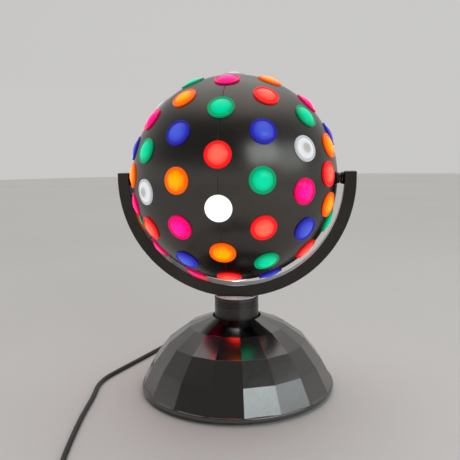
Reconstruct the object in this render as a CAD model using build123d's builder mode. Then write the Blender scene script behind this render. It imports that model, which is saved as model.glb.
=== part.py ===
"""Table disco lamp: a ball set with coloured lens buttons turns in a yoke on a faceted base.

Millimetres, +Z up. The origin is the middle of the base on the table, the front faces -Y, and the ball turns
about a level axis along X. A cord with a hand switch, a coil and a plug runs from the back of the base.
"""

import os
from math import atan2, cos, degrees, floor, hypot, pi, radians, sin, sqrt, tan

from build123d import *

os.makedirs("parts", exist_ok=True)

# Fits, as play on the radius or between faces
running_fit = 0.05
hole_fit = 0.1
cover_fit = 0.15
end_play = 0.3

# Dome base: how far in from the rim and how high each row of facet corners is, from the rim up
facet_count = 18
facet_turn = 1.5
band_setbacks = (0.4, 12.8, 29.1, 51.2)
band_heights = (7.8, 31.6, 52.6, 68.5)
dome_top = 77.9
dome_wall = 1.6
rim_radius = 102.5
rim_width = 6.0
rim_bottom = 3.0
rim_height = 5.2
rim_round = 2.0
ledge_width = 5.0
ledge_thickness = 1.6
well_radius = 25.7
well_rim = 0.8
well_depth = 6.4
well_floor_thickness = 1.5

# Bottom of the base
foot_height = 5.0
foot_radius = 7.5
foot_stem_radius = 2.6
foot_barb_radius = 3.6
foot_barb_height = 1.2
foot_count = 4
foot_setback = 20.5
plate_thickness = 2.0
weight_gap = 17.4
weight_bore = 16.0
weight_height = 12.0
weight_screw_radius = 2.4
weight_screw_head = 4.0
weight_screw_head_height = 2.2
weight_screw_depth = 8.0
weight_screw_setback = 17.0
weight_screw_count = 3

# Threaded tube through base, neck and yoke
rod_radius = 5.0
rod_bore = 3.4
rod_tail = 0.3
rod_nut_flats = 15.0
rod_nut_height = 5.0
rod_lock_nut_height = 2.4
rod_washer_radius = 10.0
base_washer_thickness = 1.0
well_washer_thickness = 1.5

# Neck
neck_radius = 23.3
neck_wall = 2.2
neck_length = 27.5
neck_cap = 2.5
neck_chamfer = 0.6
neck_groove_depth = 0.4
neck_groove_width = 0.8
neck_groove_count = 3
neck_groove_pitch = 2.4
neck_groove_start = 3.4

# Yoke
yoke_gap = 6.5
yoke_thickness = 12.0
yoke_depth = 21.0
yoke_wall = 2.0
yoke_arm_rise = 7.0
yoke_cap = 1.4
yoke_edge = 0.6
collar_radius = 22.1
collar_drop = 0.5
collar_lip = 1.3
collar_edge = 0.4
saddle_length = 38.0
boss_radius = 6.2
cover_screw_angles = (20.0, 50.0, 80.0)
cover_screw_radius = 1.2
cover_screw_head = 2.4
cover_screw_head_height = 1.3
cover_screw_depth = 8.0
post_radius = 2.4

# Ball
ball_radius = 105.0
shell_wall = 1.6
seam_ring_wall = 1.5
seam_ring_width = 32.0

# Lens buttons
lens_flange_radius = 12.3
lens_flange_height = 1.0
lens_dome_radius = 10.4
lens_groove_radius = 10.9
lens_groove_depth = 0.5
lens_stem_radius = 11.1
lens_stem_end = 0.4
lens_height = 3.4

# Rings of lenses about the pin axis, from the seam outwards: latitude, count and angle of the first lens
ring_latitudes = (0.0, 21.4, 44.7, 65.2)
ring_counts = (14, 14, 12, 9)
ring_starts = (14.0, 1.7, -6.6, 7.5)

# Colours round each ring, one letter for each lens: red, orange, green, blue, pink, white
right_ring_colours = ("RGPWBOGPOGWROW", "GBROWPGBOWBBGR", "PWGPBORGOPRB", "ROBGPBRGO")
left_ring_colours = ("", "OBOGRWPGOWRPBP", "WGPWBRPGBWPR", "OBRWGBOGP")
colour_names = {"R": "red", "O": "orange", "G": "green", "B": "blue", "P": "pink", "W": "clear"}

# Pins, bushes and hubs
pin_gap = 3.2
pin_radius = 3.5
pin_flange_radius = 5.2
pin_flange_thickness = 1.0
pin_end = 0.8
axle_bore = 2.2
arm_nut_flats = 10.8
arm_nut_height = 3.0
bush_radius = 5.4
bush_flange_radius = 14.0
bush_flange_thickness = 3.0
hub_radius = 10.0
hub_length = 6.0
clip_radius = 6.0
clip_thickness = 0.8
clip_groove_depth = 0.8
clip_slot = 4.5
pin_nose = 2.0

# Drive inside the ball
gear_module = 1.0
ball_gear_teeth = 48
pinion_teeth = 12
gear_backlash = 0.1
gear_root_depth = 1.25
gear_flank_angle = 20.0
gear_width = 5.0
gear_screw_radius = 1.25
gear_screw_head = 2.2
gear_screw_head_height = 1.2
gear_screw_depth = 5.0
gear_screw_circle = 7.2
gear_screw_count = 3
spacer_radius = 6.5
spacer_length = 4.0
axle_nut_flats = 12.0
axle_nut_height = 4.0
motor_shaft_radius = 1.5
pinion_margin = 0.3
motor_radius = 18.0
motor_length = 18.0
motor_shaft_offset = 7.0
motor_ear_radius = 4.0
motor_ear_thickness = 1.0
motor_ear_reach = 21.5
motor_screw_radius = 1.4
motor_screw_head = 2.6
motor_screw_head_height = 2.0
bracket_thickness = 2.0
bracket_head_radius = 15.0
bracket_margin = 1.5

# Lampholder and bulb
holder_radius = 14.0
holder_length = 42.0
holder_thread = 8.0
holder_socket_depth = 18.0
holder_chamber_radius = 9.0
holder_floor = 2.0
bulb_cap_radius = 6.9
bulb_cap_length = 24.0
bulb_cap_depth = 17.5
bulb_radius = 22.5
bulb_neck_radius = 8.5
bulb_length = 52.0

# Cord, its gland and the terminal block
cord_radius = 2.4
gland_height = 15.0
gland_boss_radius = 7.5
gland_boss_length = 13.0
gland_boss_reach = 0.5
gland_thread_radius = 4.0
gland_nut_flats = 11.0
gland_nut_height = 4.0
gland_tail = 2.0
gland_flange_radius = 6.5
gland_flange_thickness = 2.0
gland_taper_length = 24.0
gland_taper_root = 5.2
gland_taper_tip = 3.3
cord_exit_run = 18.0
corner_share = 0.45
block_length = 16.0
block_width = 20.0
block_height = 14.0
block_gap = 4.0
block_screw_radius = 2.2
block_screw_spacing = 9.0

# Hand switch on the cord, lying along X
switch_start = -63.0
switch_y = -232.0
switch_length = 64.0
switch_width = 25.0
switch_height = 17.0
switch_split = 8.5
switch_wall = 2.0
switch_corner = 8.0
switch_edge = 1.5
switch_entry = 6.0
switch_screw_radius = 1.3
switch_screw_head = 2.6
switch_screw_head_height = 1.8
switch_screw_reach = 23.0
switch_screw_top = 13.0
switch_post_radius = 3.0
rocker_length = 21.0
rocker_width = 10.4
rocker_axis_height = 15.0
rocker_dip = 1.2
rocker_rise = 3.2
rocker_drop = 3.0
rocker_tilt = 8.0
rocker_pin_radius = 1.4
rocker_pin_reach = 2.0
rocker_slot_play = 0.6
rocker_lug_length = 8.0
rocker_lug_height = 3.5

# Coil of the rest of the cord, its tie and the plug
coil_lead_drop = 24.0
coil_lead_run = 20.0
coil_outer_radius = 35.5
coil_turns_per_layer = 2.75
coil_gap = 0.6
tie_thickness = 0.8
tie_width = 5.0
tie_play = 0.3
tie_head_length = 7.0
tie_head_height = 6.0
plug_lead = 16.0
plug_length = 36.0
plug_width = 27.0
plug_corner = 7.0
plug_edge = 3.0
plug_sleeve_length = 14.0
plug_sleeve_root = 5.0
plug_sleeve_tip = 3.4
plug_pin_radius = 2.0
plug_pin_length = 19.0
plug_pin_spacing = 19.0
plug_pin_root = 6.0

# Heights and places that follow from the sizes above
plate_top = foot_height + plate_thickness
plate_radius = rim_radius - rim_width - cover_fit
foot_circle = rim_radius - foot_setback
weight_radius = foot_circle - foot_barb_radius - weight_gap
weight_screw_circle = weight_radius - weight_screw_setback
gland_boss_outer = rim_radius + gland_boss_reach
gland_boss_inner = gland_boss_outer - gland_boss_length
well_floor = dome_top - well_depth
neck_top = well_floor + neck_length
yoke_inner = ball_radius + yoke_gap
yoke_outer = yoke_inner + yoke_thickness
axis_height = neck_top + collar_drop + yoke_outer
pin_axis = Axis((0, 0, axis_height), (1, 0, 0))
pin_plane = Plane(origin=(0, 0, axis_height), x_dir=(1, 0, 0), z_dir=(0, -1, 0))
side_planes = {
    "left": Plane(origin=(0, 0, axis_height), x_dir=(-1, 0, 0), z_dir=(0, 1, 0)),
    "right": pin_plane,
}
side_signs = {"left": -1, "right": 1}

# Distances from the middle of the ball along the pin axis, the same on both sides
shell_inner = ball_radius - shell_wall
boss_end = ball_radius + pin_gap
flange_seat = shell_inner - running_fit
flange_inner = sqrt(flange_seat**2 - bush_flange_radius**2) - bush_flange_thickness
hub_end = flange_inner - hub_length
bush_end = boss_end - pin_flange_thickness - end_play
bush_bore = pin_radius + running_fit
arm_seat = yoke_inner + yoke_wall
arm_end = arm_seat + arm_nut_height + pin_end
gear_inner = hub_end - gear_width
spacer_inner = gear_inner - end_play - spacer_length
bracket_outer = spacer_inner - axle_nut_height
bracket_inner = bracket_outer - bracket_thickness
holder_front = bracket_inner - holder_length
axle_inner = bracket_inner - holder_thread

# Gear sizes: the pinion runs straight under the ball gear
gear_center = gear_module * (ball_gear_teeth + pinion_teeth) / 2 + gear_backlash
motor_center = gear_center + motor_shaft_offset


def on_circle(radius, degrees_from_x):
    """Point at an angle on a circle about the sketch's origin."""
    return (radius * cos(radians(degrees_from_x)), radius * sin(radians(degrees_from_x)))


def gear_points(teeth, first_angle):
    """Corners of a spur gear with straight flanks: root, tip, tip and root of each tooth in turn."""
    pitch_radius = gear_module * teeth / 2
    tip_radius = pitch_radius + gear_module
    root_radius = pitch_radius - gear_root_depth * gear_module
    half_width = pi * gear_module / 4 - gear_backlash
    flank_slope = tan(radians(gear_flank_angle))
    tip_half = half_width - flank_slope * gear_module
    root_half = half_width + flank_slope * gear_root_depth * gear_module
    corners = []
    for tooth in range(teeth):
        middle = first_angle + 360 * tooth / teeth
        for radius, half in ((root_radius, -root_half), (tip_radius, -tip_half),
                             (tip_radius, tip_half), (root_radius, root_half)):
            corners.append(on_circle(radius, middle + degrees(half / radius)))
    return corners


def half_ring(inner, outer, top):
    """Face of a half ring below the sketch's origin whose two ends run straight up to a height."""
    with BuildLine() as outline:
        outer_arc = ThreePointArc((-outer, 0), (0, -outer), (outer, 0))
        inner_arc = ThreePointArc((-inner, 0), (0, -inner), (inner, 0))
        Polyline(outer_arc @ 0, (-outer, top), (-inner, top), inner_arc @ 0)
        Polyline(outer_arc @ 1, (outer, top), (inner, top), inner_arc @ 1)
    make_face(outline.edges())


def sphere_arc(radius, first_height, last_height):
    """Arc about the sketch's origin between two heights above its X axis."""
    middle_height = (first_height + last_height) / 2
    points = [(sqrt(radius**2 - h**2), h) for h in (first_height, middle_height, last_height)]
    return ThreePointArc(*points)


def stacked_bands(rows, mode):
    """Facet bands between rows of apothem and height, each band a tapered polygon."""
    for (low, low_height), (high, high_height) in zip(rows, rows[1:]):
        with BuildSketch(Plane.XY.offset(low_height)) as band:
            RegularPolygon(low, facet_count, major_radius=False, rotation=facet_turn)
        rise = high_height - low_height
        extrude(band.sketch, amount=rise, taper=degrees(atan2(low - high, rise)), mode=mode)


def inset_rows(rows, wall):
    """Rows of the same bands moved inwards by a wall; the lowest row keeps its height."""
    normals = []
    for (low, low_height), (high, high_height) in zip(rows, rows[1:]):
        length = hypot(high - low, high_height - low_height)
        normals.append((-(high_height - low_height) / length, (high - low) / length))
    first_low, first_height = rows[0]
    inner = [(first_low + wall / normals[0][0], first_height)]
    for (radius, height), one, two in zip(rows[1:], normals, normals[1:]):
        scale = wall / (1 + one[0] * two[0] + one[1] * two[1])
        inner.append((radius + scale * (one[0] + two[0]), height + scale * (one[1] + two[1])))
    last_radius, last_height = rows[-1]
    inner.append((last_radius + wall * normals[-1][0], last_height + wall * normals[-1][1]))
    return inner


# Directions at the back of the base, square to the middle of a facet
facet_step = 360 / facet_count
back_angle = facet_turn + facet_step * (floor(90 / facet_step) + 0.5)
back = Vector(cos(radians(back_angle)), sin(radians(back_angle)), 0)
across = Vector(back.Y, -back.X, 0)
gland_plane = Plane(origin=(0, 0, gland_height), x_dir=back, z_dir=across)
gland_axis = Axis((0, 0, gland_height), back)


def back_plane(distance):
    """Plane square to the cord's way out, at a distance from the middle of the base."""
    return Plane(origin=back * distance + Vector(0, 0, gland_height), x_dir=across, z_dir=back)


# Base dome with rim, ledge for the plate, well for the neck and boss for the gland
facet_cos = cos(pi / facet_count)
outer_rows = [((rim_radius - setback) * facet_cos, height)
              for setback, height in zip(band_setbacks, band_heights)]
outer_rows.append((well_radius + well_rim, dome_top))
ledge_outer = rim_radius - rim_width / 2
with BuildPart() as base_dome:
    stacked_bands(outer_rows, Mode.ADD)
    stacked_bands(inset_rows(outer_rows, dome_wall), Mode.SUBTRACT)
    with BuildSketch(Plane.XZ):
        with Locations((rim_radius - rim_width / 2, rim_bottom + rim_height / 2)):
            RectangleRounded(rim_width, rim_height, rim_round)
    revolve(axis=Axis.Z)
    with BuildSketch(Plane.XY.offset(plate_top)):
        Circle(ledge_outer)
        Circle(plate_radius - ledge_width, mode=Mode.SUBTRACT)
    extrude(amount=ledge_thickness)
    with BuildSketch(Plane.XY.offset(well_floor - well_floor_thickness)):
        Circle(well_radius + dome_wall)
    extrude(amount=well_floor_thickness + well_depth - dome_wall)
    with BuildSketch(Plane.XY.offset(well_floor)):
        Circle(well_radius)
    extrude(amount=well_depth + dome_wall, mode=Mode.SUBTRACT)
    with BuildSketch(Plane.XY.offset(well_floor - well_floor_thickness)):
        Circle(rod_radius + hole_fit)
    extrude(amount=well_floor_thickness, mode=Mode.SUBTRACT)
    with BuildSketch(back_plane(gland_boss_inner)):
        Circle(gland_boss_radius)
    extrude(amount=gland_boss_outer - gland_boss_inner)
    with BuildSketch(back_plane(gland_boss_inner)):
        Circle(gland_thread_radius + hole_fit)
    extrude(amount=gland_boss_outer - gland_boss_inner, mode=Mode.SUBTRACT)

# Base plate, clamped up against the ledge
with BuildPart() as base_plate:
    with BuildSketch(Plane.XY.offset(foot_height)):
        Circle(plate_radius)
        Circle(rod_radius + hole_fit, mode=Mode.SUBTRACT)
        with PolarLocations(foot_circle, foot_count, start_angle=180 / foot_count):
            Circle(foot_stem_radius + hole_fit, mode=Mode.SUBTRACT)
        with PolarLocations(weight_screw_circle, weight_screw_count):
            Circle(weight_screw_radius + hole_fit, mode=Mode.SUBTRACT)
    extrude(amount=plate_thickness)

# Rubber feet with stems that snap through the plate
with BuildPart() as rubber_feet:
    with BuildSketch():
        with PolarLocations(foot_circle, foot_count, start_angle=180 / foot_count):
            Circle(foot_radius)
    extrude(amount=foot_height)
    with BuildSketch(Plane.XY.offset(foot_height)):
        with PolarLocations(foot_circle, foot_count, start_angle=180 / foot_count):
            Circle(foot_stem_radius)
    extrude(amount=plate_thickness)
    with BuildSketch(Plane.XY.offset(plate_top)):
        with PolarLocations(foot_circle, foot_count, start_angle=180 / foot_count):
            Circle(foot_barb_radius)
    extrude(amount=foot_barb_height)

# Weight ring on the plate and its screws
with BuildPart() as base_weight:
    with BuildSketch(Plane.XY.offset(plate_top)):
        Circle(weight_radius)
        Circle(weight_bore, mode=Mode.SUBTRACT)
    extrude(amount=weight_height)
    with BuildSketch(Plane.XY.offset(plate_top)):
        with PolarLocations(weight_screw_circle, weight_screw_count):
            Circle(weight_screw_radius + running_fit)
    extrude(amount=weight_screw_depth, mode=Mode.SUBTRACT)

with BuildPart() as weight_screws:
    with BuildSketch(Plane.XY.offset(foot_height - weight_screw_head_height)):
        with PolarLocations(weight_screw_circle, weight_screw_count):
            Circle(weight_screw_head)
    extrude(amount=weight_screw_head_height)
    with BuildSketch(Plane.XY.offset(foot_height)):
        with PolarLocations(weight_screw_circle, weight_screw_count):
            Circle(weight_screw_radius)
    extrude(amount=plate_thickness + weight_screw_depth)

# Threaded tube with its nuts and washers, from under the plate to inside the collar
collar_floor = neck_top + collar_drop + yoke_wall
base_nut_bottom = foot_height - base_washer_thickness - rod_lock_nut_height
well_nut_bottom = well_floor - well_floor_thickness - well_washer_thickness - rod_nut_height
rod_top = collar_floor + rod_nut_height + rod_tail
with BuildPart() as center_rod:
    with BuildSketch(Plane.XY.offset(base_nut_bottom - rod_tail)):
        Circle(rod_radius)
        Circle(rod_bore, mode=Mode.SUBTRACT)
    extrude(amount=rod_top - base_nut_bottom + rod_tail)

rod_nut_places = (
    (base_nut_bottom, rod_lock_nut_height),
    (well_nut_bottom, rod_nut_height),
    (collar_floor, rod_nut_height),
)
with BuildPart() as rod_nuts:
    for bottom, height in rod_nut_places:
        with BuildSketch(Plane.XY.offset(bottom)):
            RegularPolygon(rod_nut_flats / 2, 6, major_radius=False, rotation=360 / 12)
            Circle(rod_radius + running_fit, mode=Mode.SUBTRACT)
        extrude(amount=height)

rod_washer_places = (
    (foot_height - base_washer_thickness, base_washer_thickness),
    (well_nut_bottom + rod_nut_height, well_washer_thickness),
)
with BuildPart() as rod_washers:
    for bottom, height in rod_washer_places:
        with BuildSketch(Plane.XY.offset(bottom)):
            Circle(rod_washer_radius)
            Circle(rod_radius + running_fit, mode=Mode.SUBTRACT)
        extrude(amount=height)

# Neck: a closed sleeve with fine grooves near its top, standing in the well
with BuildPart() as neck_tube:
    with BuildSketch(Plane.XY.offset(well_floor)):
        Circle(neck_radius)
    extrude(amount=neck_length)
    chamfer(neck_tube.faces().sort_by(Axis.Z)[-1].edges(), length=neck_chamfer)
    with BuildSketch(Plane.XY.offset(well_floor)):
        Circle(neck_radius - neck_wall)
    extrude(amount=neck_length - neck_cap, mode=Mode.SUBTRACT)
    with BuildSketch(Plane.XY.offset(neck_top - neck_cap)):
        Circle(rod_radius + hole_fit)
    extrude(amount=neck_cap, mode=Mode.SUBTRACT)
    for groove in range(neck_groove_count):
        groove_top = neck_top - neck_groove_start - groove * neck_groove_pitch
        with BuildSketch(Plane.XY.offset(groove_top - neck_groove_width)):
            Circle(neck_radius + neck_groove_depth)
            Circle(neck_radius - neck_groove_depth, mode=Mode.SUBTRACT)
        extrude(amount=neck_groove_width, mode=Mode.SUBTRACT)

# Yoke: a hollow half ring with straight ends, open at the back, on a short saddle and a round collar
channel_inner = yoke_inner + yoke_wall
channel_outer = yoke_outer - yoke_wall
channel_top = yoke_arm_rise - yoke_cap
channel_half = yoke_depth / 2 - yoke_wall
collar_top = neck_top + collar_lip
mouth_plane = Plane(origin=(0, channel_half, axis_height), x_dir=(1, 0, 0), z_dir=(0, -1, 0))
floor_plane = Plane(origin=(0, -channel_half, axis_height), x_dir=(1, 0, 0), z_dir=(0, -1, 0))
post_circle = channel_outer - post_radius + yoke_wall / 2
post_places = [on_circle(post_circle, side * angle - 90)
               for angle in cover_screw_angles for side in (-1, 1)]
with BuildPart() as yoke_frame:
    with BuildSketch(pin_plane):
        half_ring(yoke_inner, yoke_outer, yoke_arm_rise)
    extrude(amount=yoke_depth / 2, both=True)
    chamfer(yoke_frame.faces().sort_by(Axis.Y)[0].edges(), length=yoke_edge)
    with BuildSketch(Plane.XY.offset(neck_top)):
        Rectangle(saddle_length, yoke_depth)
    extrude(amount=collar_floor - neck_top)
    with BuildSketch(Plane.XZ):
        with BuildLine():
            Polyline((0, neck_top), (collar_radius, neck_top), (collar_radius, collar_top - collar_edge),
                     (collar_radius - collar_edge, collar_top), (0, collar_top), close=True)
        make_face()
    revolve(axis=Axis.Z)
    for sign in side_signs.values():
        with BuildSketch(Plane(origin=(sign * boss_end, 0, axis_height), z_dir=(sign, 0, 0))):
            Circle(boss_radius)
        extrude(amount=yoke_inner + yoke_wall / 2 - boss_end)
    with BuildSketch(pin_plane):
        half_ring(channel_inner, channel_outer, channel_top)
    extrude(amount=channel_half, both=True, mode=Mode.SUBTRACT)
    with BuildSketch(mouth_plane):
        half_ring(channel_inner, channel_outer, channel_top)
        with Locations((0, -yoke_outer)):
            Rectangle(2 * collar_radius, 2 * yoke_outer, mode=Mode.SUBTRACT)
    extrude(amount=-yoke_wall, mode=Mode.SUBTRACT)
    with BuildSketch(floor_plane):
        with Locations(*post_places):
            Circle(post_radius)
    extrude(amount=-2 * channel_half)
    with BuildSketch(mouth_plane):
        with Locations(*post_places):
            Circle(cover_screw_radius + running_fit)
    extrude(amount=cover_screw_depth, mode=Mode.SUBTRACT)
    with BuildSketch(Plane.XY.offset(collar_floor)):
        Circle(rod_nut_flats / sqrt(3) + hole_fit)
    extrude(amount=rod_nut_height, mode=Mode.SUBTRACT)
    with BuildSketch(Plane.XY.offset(neck_top)):
        Circle(rod_radius + hole_fit)
    extrude(amount=collar_floor - neck_top, mode=Mode.SUBTRACT)
    for sign in side_signs.values():
        with BuildSketch(Plane(origin=(sign * boss_end, 0, axis_height), z_dir=(sign, 0, 0))):
            Circle(pin_radius + running_fit)
        extrude(amount=arm_seat - boss_end, mode=Mode.SUBTRACT)

# Covers over the channel at the back of each arm, with their screws
yoke_covers = {}
for side, sign in side_signs.items():
    with BuildPart() as yoke_cover:
        with BuildSketch(mouth_plane):
            half_ring(channel_inner + cover_fit, channel_outer - cover_fit, channel_top - cover_fit)
            with Locations((sign * (collar_radius + cover_fit + yoke_outer), 0)):
                Rectangle(2 * yoke_outer, 4 * yoke_outer, mode=Mode.INTERSECT)
            with Locations(*post_places):
                Circle(cover_screw_radius + hole_fit, mode=Mode.SUBTRACT)
        extrude(amount=-yoke_wall)
    yoke_covers[side] = yoke_cover

cover_face = Plane(origin=(0, yoke_depth / 2, axis_height), x_dir=(1, 0, 0), z_dir=(0, -1, 0))
with BuildPart() as yoke_screws:
    with BuildSketch(cover_face):
        with Locations(*post_places):
            Circle(cover_screw_head)
    extrude(amount=-cover_screw_head_height)
    with BuildSketch(cover_face):
        with Locations(*post_places):
            Circle(cover_screw_radius)
    extrude(amount=yoke_wall + cover_screw_depth)

# Ball: two half shells that meet at the seam, holed for the lenses and the bushes
lens_places = []
for ring, latitude in enumerate(ring_latitudes):
    for sign, colours in ((1, right_ring_colours[ring]), (-1, left_ring_colours[ring])):
        for index, colour in enumerate(colours):
            angle = radians(ring_starts[ring] + 360 * index / ring_counts[ring])
            slant = radians(sign * latitude)
            outward = Vector(sin(slant), -cos(slant) * cos(angle), cos(slant) * sin(angle))
            center = Vector(0, 0, axis_height) + outward * ball_radius
            lens_places.append((colour, Plane(origin=center, z_dir=outward).location))
all_lens_places = [place for _, place in lens_places]
lens_hole_radius = lens_stem_radius + hole_fit
lens_stem_depth = shell_wall + seam_ring_wall + lens_stem_end
lens_cut_depth = 2 * (lens_stem_depth + lens_flange_height)
bush_hole_radius = bush_radius + running_fit

ball_shells = {}
for side, plane in side_planes.items():
    with BuildPart() as ball_shell:
        with BuildSketch(plane):
            with BuildLine():
                outer_arc = sphere_arc(ball_radius, ball_radius, bush_hole_radius)
                inner_arc = sphere_arc(shell_inner, shell_inner, bush_hole_radius)
                Line(outer_arc @ 0, inner_arc @ 0)
                Line(outer_arc @ 1, inner_arc @ 1)
            make_face()
        revolve(axis=pin_axis)
        with Locations(*all_lens_places):
            Cylinder(lens_hole_radius, lens_cut_depth, mode=Mode.SUBTRACT)
    ball_shells[side] = ball_shell

# Ring inside the seam that joins the two shells
ring_outer = shell_inner - running_fit
ring_inner = ring_outer - seam_ring_wall
with BuildPart() as seam_ring:
    with BuildSketch(pin_plane):
        with BuildLine():
            half = seam_ring_width / 2
            outer_edge = sqrt(ring_outer**2 - half**2)
            inner_edge = sqrt(ring_inner**2 - half**2)
            ThreePointArc((-half, outer_edge), (0, ring_outer), (half, outer_edge))
            ThreePointArc((-half, inner_edge), (0, ring_inner), (half, inner_edge))
            Line((-half, outer_edge), (-half, inner_edge))
            Line((half, outer_edge), (half, inner_edge))
        make_face()
    revolve(axis=pin_axis)
    with Locations(*all_lens_places[:ring_counts[0]]):
        Cylinder(lens_hole_radius, lens_cut_depth, mode=Mode.SUBTRACT)

# One lens button: a stem through the shell, a flange that follows the ball, a groove and a domed face
flange_underside = ball_radius + running_fit
with BuildPart() as lens_button:
    with BuildSketch(Plane.XZ):
        with BuildLine():
            stem_seat = sqrt(flange_underside**2 - lens_stem_radius**2) - ball_radius
            flange_seat_height = sqrt(flange_underside**2 - lens_flange_radius**2) - ball_radius
            groove_floor = lens_flange_height - lens_groove_depth
            face_half = lens_dome_radius / 2
            face_rise = lens_height - groove_floor
            face_radius = (lens_dome_radius**2 + face_rise**2) / (2 * face_rise)
            face_half_height = lens_height - face_radius + sqrt(face_radius**2 - face_half**2)
            Polyline((0, lens_height), (0, -lens_stem_depth), (lens_stem_radius, -lens_stem_depth),
                     (lens_stem_radius, stem_seat), (lens_flange_radius, flange_seat_height),
                     (lens_flange_radius, lens_flange_height), (lens_groove_radius, lens_flange_height),
                     (lens_groove_radius, groove_floor), (lens_dome_radius, groove_floor))
            ThreePointArc((lens_dome_radius, groove_floor), (face_half, face_half_height), (0, lens_height))
        make_face()
    revolve(axis=Axis.Z)

lens_groups = {}
for letter, colour_name in colour_names.items():
    with BuildPart() as lenses:
        with Locations(*[place for colour, place in lens_places if colour == letter]):
            add(lens_button.part)
    lens_groups[f"lenses_{colour_name}"] = lenses

# Hub bushes: a black sleeve through the pole of each shell, a flange inside it and a hub
gear_plane = Plane(origin=(-hub_end, 0, axis_height), x_dir=(0, 1, 0), z_dir=(1, 0, 0))
hub_bushes = {}
for side, plane in side_planes.items():
    with BuildPart() as hub_bush:
        with BuildSketch(plane):
            with BuildLine():
                seat_arc = sphere_arc(flange_seat, bush_radius, bush_flange_radius)
                Polyline(seat_arc @ 0, (bush_end, bush_radius), (bush_end, bush_bore), (hub_end, bush_bore),
                         (hub_end, hub_radius), (flange_inner, hub_radius),
                         (flange_inner, bush_flange_radius), seat_arc @ 1)
            make_face()
        revolve(axis=pin_axis)
        if side == "left":
            with BuildSketch(gear_plane):
                with PolarLocations(gear_screw_circle, gear_screw_count):
                    Circle(gear_screw_radius + running_fit)
            extrude(amount=-gear_screw_depth, mode=Mode.SUBTRACT)
    hub_bushes[side] = hub_bush

# Hollow axle on the left: fixed in the arm, it carries the bracket and the lampholder
with BuildPart() as lamp_axle:
    with BuildSketch(side_planes["left"]):
        with BuildLine():
            Polyline((axle_inner, axle_bore), (axle_inner, pin_radius),
                     (boss_end - pin_flange_thickness, pin_radius),
                     (boss_end - pin_flange_thickness, pin_flange_radius), (boss_end, pin_flange_radius),
                     (boss_end, pin_radius), (arm_end, pin_radius), (arm_end, axle_bore), close=True)
        make_face()
    revolve(axis=pin_axis)

# Pivot pin on the right, with a groove for its clip
clip_outer = hub_end - end_play
clip_inner = clip_outer - clip_thickness
clip_groove_radius = pin_radius - clip_groove_depth
with BuildPart() as pivot_pin:
    with BuildSketch(side_planes["right"]):
        with BuildLine():
            Polyline((clip_inner - pin_nose, 0), (clip_inner - pin_nose, pin_radius),
                     (clip_inner, pin_radius), (clip_inner, clip_groove_radius),
                     (clip_outer, clip_groove_radius), (clip_outer, pin_radius),
                     (boss_end - pin_flange_thickness, pin_radius),
                     (boss_end - pin_flange_thickness, pin_flange_radius), (boss_end, pin_flange_radius),
                     (boss_end, pin_radius), (arm_end, pin_radius), (arm_end, 0), close=True)
        make_face()
    revolve(axis=pin_axis)

with BuildPart() as pin_clip:
    with BuildSketch(Plane(origin=(clip_inner, 0, axis_height), x_dir=(0, 1, 0), z_dir=(1, 0, 0))):
        Circle(clip_radius)
        Circle(clip_groove_radius + running_fit, mode=Mode.SUBTRACT)
        with Locations((0, -clip_radius)):
            Rectangle(clip_slot, 2 * clip_radius, mode=Mode.SUBTRACT)
    extrude(amount=clip_thickness)

# Nuts inside the arms
with BuildPart() as arm_nuts:
    for sign in side_signs.values():
        nut_plane = Plane(origin=(sign * arm_seat, 0, axis_height), x_dir=(0, 1, 0), z_dir=(sign, 0, 0))
        with BuildSketch(nut_plane):
            RegularPolygon(arm_nut_flats / 2, 6, major_radius=False, rotation=360 / 6)
            Circle(pin_radius + running_fit, mode=Mode.SUBTRACT)
        extrude(amount=arm_nut_height)

# Gear on the left hub, its screws, and the pinion below it on the motor's shaft
gear_face = Plane(origin=(-gear_inner, 0, axis_height), x_dir=(0, 1, 0), z_dir=(1, 0, 0))
with BuildPart() as ball_gear:
    with BuildSketch(gear_plane):
        with BuildLine():
            Polyline(*gear_points(ball_gear_teeth, -90), close=True)
        make_face()
        Circle(pin_radius + end_play, mode=Mode.SUBTRACT)
    extrude(amount=gear_width)
    with Locations(gear_face):
        with PolarLocations(gear_screw_circle, gear_screw_count):
            CounterSinkHole(gear_screw_radius + hole_fit, gear_screw_head + hole_fit, gear_width)

with BuildPart() as gear_screws:
    with BuildSketch(gear_face):
        with PolarLocations(gear_screw_circle, gear_screw_count):
            Circle(gear_screw_head)
    extrude(amount=-gear_screw_head_height, taper=degrees(atan2(gear_screw_head - gear_screw_radius,
                                                                gear_screw_head_height)))
    with BuildSketch(gear_face):
        with PolarLocations(gear_screw_circle, gear_screw_count):
            Circle(gear_screw_radius)
    extrude(amount=-(gear_width + gear_screw_depth))

pinion_outer = hub_end - pinion_margin
pinion_plane = Plane(origin=(-pinion_outer, 0, axis_height - gear_center), x_dir=(0, 1, 0), z_dir=(1, 0, 0))
with BuildPart() as drive_pinion:
    with BuildSketch(pinion_plane):
        with BuildLine():
            Polyline(*gear_points(pinion_teeth, 90 + 180 / pinion_teeth), close=True)
        make_face()
    extrude(amount=gear_width - 2 * pinion_margin)
    with BuildSketch(pinion_plane):
        Circle(motor_shaft_radius)
    extrude(amount=pinion_outer - bracket_outer)

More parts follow.
